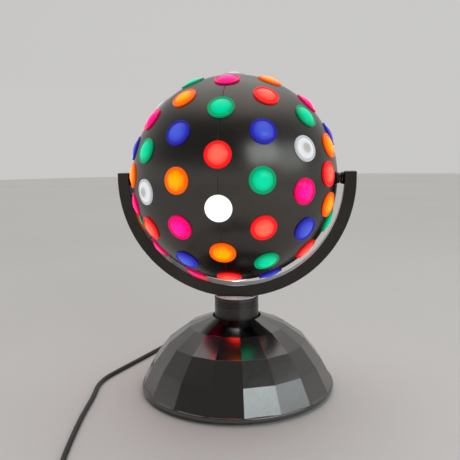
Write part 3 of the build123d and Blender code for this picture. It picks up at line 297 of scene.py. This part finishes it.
def lit_lens(name, core, face, rim):
    """Lens button lit from inside: its glow runs from a bright core over the face to a deep rim."""
    finish = lens_body(name, tuple(min(0.1 * part, 0.1) for part in rim))
    groove = tuple(0.6 * part for part in rim)
    glow = finish.ramp(finish.attribute("from_middle"), [
        (0.0, core), (0.34, core), (0.62, face), (0.8, rim), (0.86, groove), (0.9, rim), (1.0, groove)])
    finish.link(glow, finish.shader.inputs["Emission Color"])
    return finish.material


def clear_lens():
    """Clear lens: the lenses facing the front and the one facing straight down carry a painted glare, all
    white; elsewhere its rings show.
    """
    finish = lens_body("clear", grey(0.06))
    rings = finish.ramp(finish.attribute("from_middle"), [
        (0.0, grey(0.42, 0.04)), (0.3, grey(0.46, 0.03)), (0.46, grey(0.74, -0.04)),
        (0.72, grey(0.8, -0.04)), (0.82, grey(0.6, -0.04)), (0.86, grey(0.3)),
        (0.91, grey(0.66, -0.04)), (1.0, grey(0.4))])
    # Painted glare: the white the lens shows where its painted glare mark is 1.
    white = finish.ramp(finish.attribute("from_middle"), [
        (0.0, grey(4.2, -0.06)), (0.8, grey(3.8, -0.06)), (0.88, grey(1.6)), (1.0, grey(1.0))])
    mix = finish.node("ShaderNodeMix")
    mix.data_type = "RGBA"
    finish.link(finish.attribute("painted_glare"), mix.inputs["Factor"])
    finish.link(rings, mix.inputs["A"])
    finish.link(white, mix.inputs["B"])
    finish.link(mix.outputs["Result"], finish.shader.inputs["Emission Color"])
    return finish.material


def pale_floor():
    """Plain pale board that the lamp stands on."""
    finish = Finish("pale_floor", grey(0.7, 0.02), metallic=0.0, roughness=0.6)
    finish.tone(finish.cloud(1.5, 3.0), grey(0.68, 0.02), grey(0.72, 0.02))
    finish.gloss(finish.cloud(40.0, 4.0), 0.55, 0.7)
    finish.relief(finish.cloud(300.0, 2.0), depth=0.05)
    return finish.material


finishes = {
    "ball_shell": smoked_mirror(),
    "dome_metal": gunmetal(),
    "yoke_metal": black_chrome(),
    "neck_metal": turned_black(),
    "steel": bare_steel(),
    "weight_iron": cast_iron(),
    "motor_steel": pressed_can(),
    "brass": plain_brass(),
    "black_plastic": moulded("black_plastic", grey(0.014), grey(0.022), gloss=0.42, grain=0.02),
    "white_plastic": moulded("white_plastic", grey(0.68, 0.04), grey(0.76, 0.03), gloss=0.4, grain=0.02),
    "gear_plastic": moulded("gear_plastic", (0.6, 0.57, 0.48), (0.7, 0.67, 0.58), gloss=0.45, grain=0.02),
    "foot_rubber": moulded("foot_rubber", grey(0.018), grey(0.03), gloss=0.7, grain=0.06),
    "cord_rubber": moulded("cord_rubber", grey(0.012), grey(0.02), gloss=0.5, grain=0.03),
    "bulb_glass": bulb_wall(),
    "lens_red": lit_lens("red", (5.0, 0.16, 0.1), (4.2, 0.09, 0.06), (1.2, 0.012, 0.014)),
    "lens_orange": lit_lens("orange", (3.6, 0.46, 0.0), (3.0, 0.3, 0.0), (1.4, 0.15, 0.0)),
    "lens_green": lit_lens("green", (0.0, 0.74, 0.38), (0.0, 0.62, 0.3), (0.0, 0.4, 0.17)),
    "lens_blue": lit_lens("blue", (0.065, 0.11, 0.66), (0.045, 0.07, 0.57), (0.025, 0.025, 0.44)),
    "lens_pink": lit_lens("pink", (3.2, 0.01, 0.36), (2.7, 0.0, 0.28), (1.0, 0.0, 0.14)),
    "lens_clear": clear_lens(),
}


# Cords

def cord_line(name, route, steps):
    """Round cord: a NURBS spline whose control points are the route's points, carried by a circle."""
    points = np.asarray(route) * mm
    curve = bpy.data.curves.new(name, "CURVE")
    curve.dimensions = "3D"
    curve.bevel_depth = cord_radius * mm
    curve.bevel_resolution = 5
    curve.resolution_u = steps
    curve.use_fill_caps = True
    spline = curve.splines.new("NURBS")
    spline.points.add(len(points) - 1)
    spline.points.foreach_set("co", np.column_stack((points, np.ones(len(points)))).ravel())
    spline.order_u = 3
    spline.use_endpoint_u = True
    spline.use_smooth = True
    curve.materials.append(finishes["cord_rubber"])
    piece = bpy.data.objects.new(name, curve)
    scene.collection.objects.link(piece)
    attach(piece, "base")
    return piece


gland_height = 15.0
back = np.array((-0.026177, 0.999657, 0.0))
gland_middle = np.array((0.0, 0.0, gland_height))
switch_y = -232.0
switch_split = 8.5

stretch_route = [
    back * 106.0 + gland_middle,
    back * 147.0 + gland_middle,
    (-22.0, 166.0, 8.0),
    (-59.0, 173.0, cord_radius),
    (-94.0, 147.0, cord_radius),
    (-112.0, 103.0, cord_radius),
    (-125.0, 62.0, cord_radius),
    (-139.0, 22.0, cord_radius),
    (-151.0, -16.0, cord_radius),
    (-142.0, -57.0, cord_radius),
    (-136.0, -101.0, cord_radius),
    (-127.0, -146.0, cord_radius),
    (-117.0, -190.0, cord_radius),
    (-98.0, switch_y, switch_split),
    (-57.0, switch_y, switch_split),
]

coil_middle = (49.8, -267.5)
coil_outer = 35.5
coil_inner = 20.65
coil_pitch = 5.4
low_layer = 3.25
layer_turns = 2.75
climb_turns = 0.5
coil_turns = 6.0
points_per_turn = 24


def coil_path():
    """Coil of two layers: at angle a the cord is at (r cos a, r sin a) from the coil's middle.

    The radius shrinks by a pitch each turn in the lower layer and grows by it in the upper one. In the half
    turn between them it dips by a parabola, and the height climbs a pitch as 3 c squared - 2 c cubed.
    """
    turn = np.arange(round(coil_turns * points_per_turn) + 1) / points_per_turn
    climbed = np.clip((turn - layer_turns) / climb_turns, 0.0, 1.0)
    inward = coil_outer - coil_pitch * turn
    outward = coil_outer - coil_pitch * (coil_turns - turn)
    between = coil_inner - coil_pitch * climb_turns * climbed * (1 - climbed)
    in_low_layer = turn <= layer_turns
    in_high_layer = turn >= layer_turns + climb_turns
    radius = np.select((in_low_layer, in_high_layer), (inward, outward), between)
    angle = np.radians(90 - 360 * turn)
    height = low_layer + coil_pitch * climbed**2 * (3 - 2 * climbed)
    return np.column_stack((coil_middle[0] + radius * np.cos(angle),
                            coil_middle[1] + radius * np.sin(angle), height))


lead_in = [
    (-5.0, switch_y, switch_split),
    (5.8, switch_y, switch_split),
    (17.8, switch_y, 5.9),
    (29.8, switch_y, low_layer),
]
lead_out = [(65.8, switch_y, low_layer + coil_pitch)]
coil_route = np.concatenate((lead_in, coil_path(), lead_out))

cord_stretch = cord_line("cord_stretch_soft", stretch_route, steps=24)
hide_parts("cord_stretch")
cord_coil = cord_line("cord_coil_soft", coil_route, steps=6)
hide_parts("cord_coil")


# Meshes

def ring_faces(rows, columns, loop=False):
    """Corner numbers of a grid's quads: its columns close on themselves, and with loop its rows do too."""
    row, column = np.meshgrid(np.arange(rows if loop else rows - 1), np.arange(columns), indexing="ij")
    next_row = (row + 1) % rows
    next_column = (column + 1) % columns
    corners = (row * columns + column, row * columns + next_column,
               next_row * columns + next_column, next_row * columns + column)
    return np.stack(corners, axis=-1).reshape(-1, 4)


def turned(profile, columns, loop=True):
    """Surface of revolution about Z: each profile point (r, z) goes round to (r cos a, r sin a, z)."""
    angle = np.linspace(0.0, 2 * np.pi, columns, endpoint=False)
    profile = np.asarray(profile, dtype=float)
    radius = profile[:, :1]
    height = np.broadcast_to(profile[:, 1:], (len(profile), columns))
    points = np.stack((radius * np.cos(angle), radius * np.sin(angle), height), axis=-1)
    return points, ring_faces(len(profile), columns, loop)


def rounded_box(middle, half_width, half_height, corner, steps=8):
    """Section with four quarter-circle corners: corner middle plus corner radius times (cos a, sin a)."""
    angle = np.radians(np.linspace(0.0, 90.0, steps)[None, :] + 90.0 * np.arange(4)[:, None])
    side_x = np.array((1, -1, -1, 1))[:, None] * (half_width - corner)
    side_y = np.array((1, 1, -1, -1))[:, None] * (half_height - corner)
    section = np.stack((side_x + corner * np.cos(angle), side_y + corner * np.sin(angle)), axis=-1)
    return section.reshape(-1, 2) + np.asarray(middle)


def joined(*sheets):
    """Several sheets of points and faces as one: each sheet's corner numbers move on past the last."""
    starts = np.cumsum([0] + [points.reshape(-1, 3).shape[0] for points, _ in sheets[:-1]])
    points = np.concatenate([points.reshape(-1, 3) for points, _ in sheets])
    return points, np.concatenate([faces + start for start, (_, faces) in zip(starts, sheets)])


def make_piece(name, body, slot, points, faces, edge=0.0, edge_angle=30.0, marks=None, finish=None):
    """Closed mesh from arrays in millimetres, with the finish of its slot unless another one is given.

    Its doubles are merged, its faces turned outwards and, where an edge is given, its edges bevelled.
    """
    mesh = bpy.data.meshes.new(name)
    mesh.from_pydata((points.reshape(-1, 3) * mm).tolist(), [], faces.tolist())
    for mark, values in (marks or {}).items():
        mesh.attributes.new(mark, "FLOAT", "POINT").data.foreach_set("value", np.ravel(values))
    shell = bmesh.new()
    shell.from_mesh(mesh)
    bmesh.ops.remove_doubles(shell, verts=shell.verts, dist=1e-7)
    bmesh.ops.recalc_face_normals(shell, faces=shell.faces)
    shell.to_mesh(mesh)
    shell.free()
    mesh.polygons.foreach_set("use_smooth", np.ones(len(mesh.polygons), dtype=bool))
    mesh.materials.append(finish or finishes[slot])
    piece = bpy.data.objects.new(name, mesh)
    scene.collection.objects.link(piece)
    if edge:
        bevel = piece.modifiers.new("edge", "BEVEL")
        bevel.width = edge * mm
        bevel.segments = 2
        bevel.limit_method = "ANGLE"
        bevel.angle_limit = math.radians(edge_angle)
        bevel.harden_normals = True
    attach(piece, body)
    return piece


# Ball

shell_wall = 1.6
bush_hole = 5.55


def about_pins(points, side):
    """Lays a shape turned about Z along the pin axis: its height runs to the left (-1) or right (1)."""
    return points[..., (2, 0, 1)] * np.array((side, 1.0, 1.0)) + ball_middle


def half_shell(side):
    """Half of the ball: circles about the pin axis, whose radius dips in a parabola at the seam."""
    seam_dip = 0.35
    seam_reach = 0.6
    open_rows, seam_rows, inner_rows, columns = 72, 14, 24, 160
    inner_radius = ball_radius - shell_wall
    near_seam = np.radians(np.linspace(89.2, 89.98, seam_rows))
    open_face = np.linspace(math.asin(bush_hole / ball_radius), near_seam[0], open_rows)
    outer = np.concatenate((open_face[:-1], near_seam))
    inner = np.linspace(near_seam[-1], math.asin(bush_hole / inner_radius), inner_rows)
    seam_distance = ball_radius * (np.pi / 2 - outer)
    dip = seam_dip * np.clip(1 - seam_distance / seam_reach, 0.0, 1.0)**2
    angle = np.concatenate((outer, inner))
    radius = np.concatenate((ball_radius - dip, np.full(len(inner), inner_radius)))
    points, faces = turned(np.column_stack((radius * np.sin(angle), radius * np.cos(angle))), columns)
    return about_pins(points, side), faces


for side, sign in (("left", -1.0), ("right", 1.0)):
    half = make_piece(f"ball_half_{side}", "ball", "ball_shell", *half_shell(sign))
    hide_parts(f"ball_shell_{side}")


# Lens buttons

ring_latitudes = (0.0, 21.4, 44.7, 65.2)
ring_counts = (14, 14, 12, 9)
ring_starts = (14.0, 1.7, -6.6, 7.5)
right_colours = ("RGPWBOGPOGWROW", "GBROWPGBOWBBGR", "PWGPBORGOPRB", "ROBGPBRGO")
left_colours = ("", "OBOGRWPGOWRPBP", "WGPWBRPGBWPR", "OBRWGBOGP")
colour_names = {"R": "red", "O": "orange", "G": "green", "B": "blue", "P": "pink", "W": "clear"}
lens_flange = 12.3
lens_columns = 40
# Ways whose clear lenses get a painted glare of the bulb: all-white emission on the lenses facing the front
# and straight down.
glare_ways = np.array(((0.05, -0.96, -0.27), (0.0, -0.13, -0.99)))
glare_cosine = 0.96
roll_guide = np.array((0.31, 0.17, 0.94))


def lens_directions(letter):
    """Outward ways of one colour's lenses: (sin b, -cos b cos a, cos b sin a) at latitude b and angle a."""
    places = []
    for colours, sign in ((right_colours, 1), (left_colours, -1)):
        for latitude, count, start, letters in zip(ring_latitudes, ring_counts, ring_starts, colours):
            places += [(sign * latitude, start + 360 * index / count)
                       for index, found in enumerate(letters) if found == letter]
    latitude, angle = np.radians(np.array(places)).T
    ring_radius = np.cos(latitude)
    return np.column_stack((np.sin(latitude), -ring_radius * np.cos(angle), ring_radius * np.sin(angle)))


def lens_profile():
    """Radius and height of a lens, from the stem's middle round the flange and the groove to its top.

    The face is an arc of a circle through its edge in the groove and its top.
    """
    stem, flange, face, top = 11.1, lens_flange, 10.4, 3.4
    stem_end, groove_floor = -3.5, 0.5
    edge = [
        (0.0, stem_end), (stem, stem_end), (stem, -0.54), (flange, -0.67), (flange, 0.72), (12.22, 0.92),
        (12.02, 1.0), (11.05, 1.0), (10.93, 0.94), (10.88, 0.58), (10.8, groove_floor),
        (10.47, groove_floor),
    ]
    rise = top - groove_floor
    face_radius = (face**2 + rise**2) / (2 * rise)
    across = face * np.cos(np.linspace(0.0, np.pi / 2, 16))
    up = top - face_radius + np.sqrt(face_radius**2 - across**2)
    return np.concatenate((edge, np.column_stack((across, up))))


def lens_buttons(letter):
    """All lenses of one colour: the turned profile stood on each outward direction of the ball."""
    outward = lens_directions(letter)
    sideways = np.cross(outward, roll_guide)
    sideways /= np.linalg.norm(sideways, axis=1, keepdims=True)
    upright = np.cross(outward, sideways)
    profile = lens_profile()
    shape, faces = turned(profile, lens_columns, loop=False)
    axes = np.stack((sideways, upright, outward), axis=1)
    flat = shape.reshape(-1, 3)
    points = np.einsum("pk,nkc->npc", flat, axes) + (ball_radius * outward + ball_middle)[:, None, :]
    numbers = faces[None] + (np.arange(len(outward)) * len(flat))[:, None, None]
    from_middle = np.tile(np.repeat(profile[:, 0] / lens_flange, lens_columns), len(outward))
    # Painted glare: a 1 on the lenses that lie within the glare cosine of a glare way.
    shows_glare = (outward @ glare_ways.T > glare_cosine).any(axis=1)
    painted_glare = np.repeat(shows_glare.astype(float), len(flat))
    return points, numbers.reshape(-1, 4), {"from_middle": from_middle, "painted_glare": painted_glare}


for letter, colour in colour_names.items():
    points, faces, marks = lens_buttons(letter)
    buttons = make_piece(f"lens_buttons_{colour}", "ball", f"lens_{colour}", points, faces, marks=marks)
    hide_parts(f"lenses_{colour}")


# Base

facet_count = 18
facet_turn = 1.5
points_per_facet = 4


def dome_facets():
    """Faceted dome: rows of a many-sided figure up the outside, circles in the well, then down the inside.

    Along a side the points run straight from one corner to the next, (1 - s) corner + s next corner.
    """
    corner = np.radians(facet_turn + 360 / facet_count * np.arange(facet_count))
    here = np.column_stack((np.cos(corner), np.sin(corner)))[:, None, :]
    following = np.roll(here, -1, axis=0)
    share = (np.arange(points_per_facet) / points_per_facet)[None, :, None]
    sides = ((1 - share) * here + share * following).reshape(-1, 2)
    circle = sides / np.linalg.norm(sides, axis=1, keepdims=True)
    outside = np.array(((102.1, 7.8), (89.7, 31.6), (73.4, 52.6), (51.3, 68.5), (26.91, 77.9)))
    well = np.array(((25.7, 77.9), (25.7, 71.5), (6.0, 71.5), (6.0, 70.0), (27.2, 70.0)))
    inside = np.array(((49.6, 67.0), (71.7, 51.4), (87.9, 30.9), (100.3, 7.8)))
    rows = np.concatenate((outside, well, inside))
    row = np.arange(len(rows))
    is_round = (row >= len(outside)) & (row < len(outside) + len(well))
    outline = np.where(is_round[:, None, None], circle[None], sides[None])
    level = rows[:, 0, None, None] * outline
    height = np.broadcast_to(rows[:, 1, None, None], level.shape[:2] + (1,))
    return np.concatenate((level, height), axis=-1), ring_faces(len(rows), len(sides), loop=True)


facets = make_piece("dome_facets", "base", "dome_metal", *dome_facets(), edge=0.4, edge_angle=4.0)
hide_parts("base_dome")


def about_back(points):
    """Lays a shape turned about Z along the cord's way out: its height runs out, level with the gland."""
    across = np.array((back[1], -back[0], 0.0))
    return points @ np.stack((across, np.array((0.0, 0.0, 1.0)), back)) + gland_middle


rim_roll = turned(rounded_box((99.5, 5.6), half_width=3.0, half_height=2.6, corner=2.0), columns=180)
boss_profile = ((4.1, 90.0), (7.5, 90.0), (7.5, 102.4), (6.9, 103.0), (4.1, 103.0))
boss_points, boss_faces = turned(boss_profile, columns=48)
make_piece("dome_rim", "base", "dome_metal", *joined(rim_roll, (about_back(boss_points), boss_faces)))


def neck_profile():
    """Sleeve with half-round grooves near its top, where the radius falls by d times the root of 1 - u^2."""
    radius, bore, bottom, top = 23.3, 21.1, 71.5, 99.0
    grooves, groove_depth, groove_pitch, first_groove = 3, 0.4, 2.4, 3.8
    rod_hole, lid, foot_edge, top_edge = 5.1, 2.5, 0.3, 0.7
    across = np.linspace(-1.0, 1.0, 9)
    groove_middle = top - first_groove - groove_pitch * np.arange(grooves)[::-1, None]
    height = (groove_middle + groove_depth * across).ravel()
    depth = np.tile(groove_depth * np.sqrt(1 - across**2), grooves)
    outside = np.column_stack((radius - depth, height))
    below = ((bore, bottom), (radius - foot_edge, bottom), (radius, bottom + foot_edge))
    above = ((radius, top - top_edge), (radius - 0.2, top - 0.2), (radius - top_edge, top),
             (rod_hole, top), (rod_hole, top - lid), (bore, top - lid))
    return np.concatenate((below, outside, above))


neck = make_piece("neck_sleeve", "base", "neck_metal", *turned(neck_profile(), columns=144), edge=0.12)
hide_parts("neck_tube")


# Yoke

yoke_inner = 111.5
yoke_outer = 123.5
yoke_half_depth = 10.5
yoke_wall = 2.0
arm_rise = 7.0
cover_rise = 5.6
collar_radius = 22.1
collar_bottom = 99.0
saddle_half = 19.0
cover_recess = 2.15


def yoke_band():
    """Half ring with straight ends: a section (r, y) carried round to (r cos a, y, r sin a + lift).

    The section has eight corners. Its back has a recess for the covers, which is left out at the arm tops
    and over the collar. Over the saddle the outer radius is divided by -sin a, so the underside is flat.
    """
    arm_rows, saddle_rows, end_rows = 46, 14, 3
    collar_angle = math.degrees(math.asin(collar_radius / (yoke_outer - yoke_wall)))
    saddle_angle = math.degrees(math.asin(saddle_half / yoke_outer))
    left = np.linspace(180.0, 270.0 - collar_angle, arm_rows)
    saddle = np.linspace(270.0 - saddle_angle, 270.0 + saddle_angle, saddle_rows)
    before = (270.0 - collar_angle, saddle[0])
    after = (saddle[-1], 270.0 + collar_angle)
    middle = np.concatenate((before, saddle, after))
    right = np.linspace(270.0 + collar_angle, 360.0, arm_rows)
    left_end, right_end = np.full(end_rows, 180.0), np.full(end_rows, 360.0)
    angle = np.radians(np.concatenate((left_end, left, middle, right, right_end)))
    lift = np.zeros(len(angle))
    lift[:end_rows] = (arm_rise, cover_rise, cover_rise)
    lift[-end_rows:] = (cover_rise, cover_rise, arm_rise)
    middle_row = end_rows + arm_rows
    recess = np.full(len(angle), cover_recess)
    recess[:end_rows - 1] = 0.0
    recess[1 - end_rows:] = 0.0
    recess[middle_row:middle_row + len(middle)] = 0.0
    outer_wall = yoke_outer - yoke_wall
    inner_wall = yoke_inner + yoke_wall
    section = (yoke_inner, yoke_outer, yoke_outer, outer_wall, outer_wall,
               inner_wall, inner_wall, yoke_inner)
    radius = np.tile(section, (len(angle), 1))
    saddle_row = middle_row + len(before)
    radius[saddle_row:saddle_row + saddle_rows, 1:3] /= -np.sin(np.radians(saddle))[:, None]
    depth = np.array((-1, -1, 1, 1, 1, 1, 1, 1)) * yoke_half_depth
    sunk = np.array((0, 0, 0, 0, 1, 1, 0, 0))
    points = np.stack((radius * np.cos(angle)[:, None],
                       depth - sunk * recess[:, None],
                       radius * np.sin(angle)[:, None] + lift[:, None] + pin_height), axis=-1)
    rows, columns = points.shape[:2]
    cap = np.array(((0, 1, 2, 3), (0, 3, 6, 7)))
    return points, np.concatenate((ring_faces(rows, columns), cap, cap + (rows - 1) * columns))


def yoke_collar():
    """Round foot of the yoke: a flat turned disc with a quarter-round upper edge."""
    edge, low_edge, top = 0.4, 0.2, collar_bottom + 1.3
    corner = np.radians(np.linspace(0.0, 90.0, 7))
    upper = np.column_stack((collar_radius - edge + edge * np.cos(corner),
                             top - edge + edge * np.sin(corner)))
    lower = ((0.0, collar_bottom), (collar_radius - low_edge, collar_bottom),
             (collar_radius, collar_bottom + low_edge))
    return turned(np.concatenate((lower, upper, ((0.0, top),))), columns=128, loop=False)


def arm_boss(side):
    """Short round boss on the inner side of an arm, turned about the pin axis."""
    profile = ((0.0, 112.0), (6.2, 112.0), (6.2, 108.7), (5.9, 108.3), (5.5, 108.2), (0.0, 108.2))
    points, faces = turned(profile, columns=64, loop=False)
    return about_pins(points, side), faces


yoke = make_piece("yoke_body", "base", "yoke_metal", *yoke_band(), edge=0.6)
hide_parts("yoke_frame")
make_piece("yoke_foot", "base", "yoke_metal", *yoke_collar(), finish=satin_plate())
make_piece("arm_bosses", "base", "yoke_metal", *joined(arm_boss(-1), arm_boss(1)))


# Finishes of the nodes that keep their CAD shape

node_finishes = {
    "steel": ("base_plate", "weight_screws", "center_rod", "rod_nuts", "rod_washers", "yoke_screws",
              "pin_clip", "arm_nuts", "motor_bracket", "motor_screws", "axle_nut", "switch_screws",
              "gear_screws"),
    "foot_rubber": ("rubber_feet",),
    "weight_iron": ("base_weight",),
    "yoke_metal": ("yoke_cover_left", "yoke_cover_right", "lamp_axle", "pivot_pin"),
    "motor_steel": ("motor_housing",),
    "gear_plastic": ("axle_spacer", "ball_gear"),
    "white_plastic": ("lampholder", "terminal_block"),
    "brass": ("bulb_cap", "plug_pins", "drive_pinion"),
    "bulb_glass": ("bulb_glass",),
    "black_plastic": ("cord_gland", "gland_nut", "switch_base", "switch_cover", "coil_tie", "plug_body",
                      "seam_ring", "hub_bush_left", "hub_bush_right", "switch_rocker"),
}
for slot, names in node_finishes.items():
    for name in names:
        nodes[name].data.materials.clear()
        nodes[name].data.materials.append(finishes[slot])


# Floor and light

window_distance = 1.7
window_width = 0.9
window_height = 0.6
window_colour = (0.86, 0.97, 1.0)
front_level = (0.14, 0.135, 0.13, 1.0)
pale_level = (0.585, 0.58, 0.57, 1.0)
overhead_level = (1.45, 1.43, 1.4, 1.0)
overhead_way = (0.0, 0.34, 0.94)


def floor_disc():
    """Flat round floor just under the feet: rings whose radius grows with the square of their number."""
    reach, drop, rings, columns = 6000.0, 0.02, 24, 96
    profile = np.column_stack((np.linspace(0.0, 1.0, rings)**2 * reach, np.full(rings, -drop)))
    points, faces = turned(profile, columns, loop=False)
    mesh = bpy.data.meshes.new("floor")
    mesh.from_pydata((points.reshape(-1, 3) * mm).tolist(), [], faces.tolist())
    mesh.materials.append(pale_floor())
    floor = bpy.data.objects.new("floor", mesh)
    scene.collection.objects.link(floor)


def soft_box(name, azimuth, elevation, radiance):
    """Area light that faces the lamp: azimuth from the front to the right, elevation above level."""
    turn, rise = math.radians(azimuth), math.radians(elevation)
    away = np.array((math.sin(turn) * math.cos(rise), -math.cos(turn) * math.cos(rise), math.sin(rise)))
    lamp = bpy.data.lights.new(name, "AREA")
    lamp.shape = "RECTANGLE"
    lamp.size = window_width
    lamp.size_y = window_height
    lamp.energy = radiance * math.pi * window_width * window_height
    lamp.color = window_colour
    side = np.cross((0.0, 0.0, 1.0), away)
    side /= np.linalg.norm(side)
    upward = np.cross(away, side)
    box = bpy.data.objects.new(name, lamp)
    scene.collection.objects.link(box)
    aim = np.array((0.0, 0.0, 0.15))
    box.matrix_world = (Matrix.Translation(aim + away * window_distance)
                        @ Matrix(np.column_stack((side, upward, away)).tolist()).to_4x4())


def sky_step(tree, part, low, high):
    """Factor that eases from 0 to 1 as one part of the direction goes from low to high."""
    step = tree.nodes.new("ShaderNodeMapRange")
    step.interpolation_type = "SMOOTHSTEP"
    step.inputs["From Min"].default_value = low
    step.inputs["From Max"].default_value = high
    tree.links.new(part, step.inputs["Value"])
    return step.outputs["Result"]


def studio_world():
    """Soft light: pale round the horizon and at the back, dark high in front, bright above and behind."""
    world = bpy.data.worlds.new("studio")
    world.use_nodes = True
    tree = world.node_tree
    direction = tree.nodes.new("ShaderNodeTexCoord")
    parts = tree.nodes.new("ShaderNodeSeparateXYZ")
    tree.links.new(direction.outputs["Generated"], parts.inputs["Vector"])
    overhead = tree.nodes.new("ShaderNodeVectorMath")
    overhead.operation = "DOT_PRODUCT"
    overhead.inputs[1].default_value = overhead_way
    tree.links.new(direction.outputs["Generated"], overhead.inputs[0])
    behind = sky_step(tree, parts.outputs["Y"], low=-0.6, high=1.0)
    horizon = sky_step(tree, parts.outputs["Z"], low=0.36, high=0.1)
    upward = sky_step(tree, overhead.outputs["Value"], low=0.68, high=1.0)
    pale = tree.nodes.new("ShaderNodeMath")
    pale.operation = "MAXIMUM"
    tree.links.new(behind, pale.inputs[0])
    tree.links.new(horizon, pale.inputs[1])
    level = tree.nodes.new("ShaderNodeMix")
    level.data_type = "RGBA"
    level.inputs["A"].default_value = front_level
    level.inputs["B"].default_value = pale_level
    tree.links.new(pale.outputs["Value"], level.inputs["Factor"])
    sky = tree.nodes.new("ShaderNodeMix")
    sky.data_type = "RGBA"
    sky.inputs["B"].default_value = overhead_level
    tree.links.new(upward, sky.inputs["Factor"])
    tree.links.new(level.outputs["Result"], sky.inputs["A"])
    tree.links.new(sky.outputs["Result"], tree.nodes["Background"].inputs["Color"])
    scene.world = world


floor_disc()
soft_box("window_front", azimuth=40.0, elevation=29.0, radiance=2.8)
soft_box("window_side", azimuth=72.0, elevation=22.0, radiance=1.5)
studio_world()
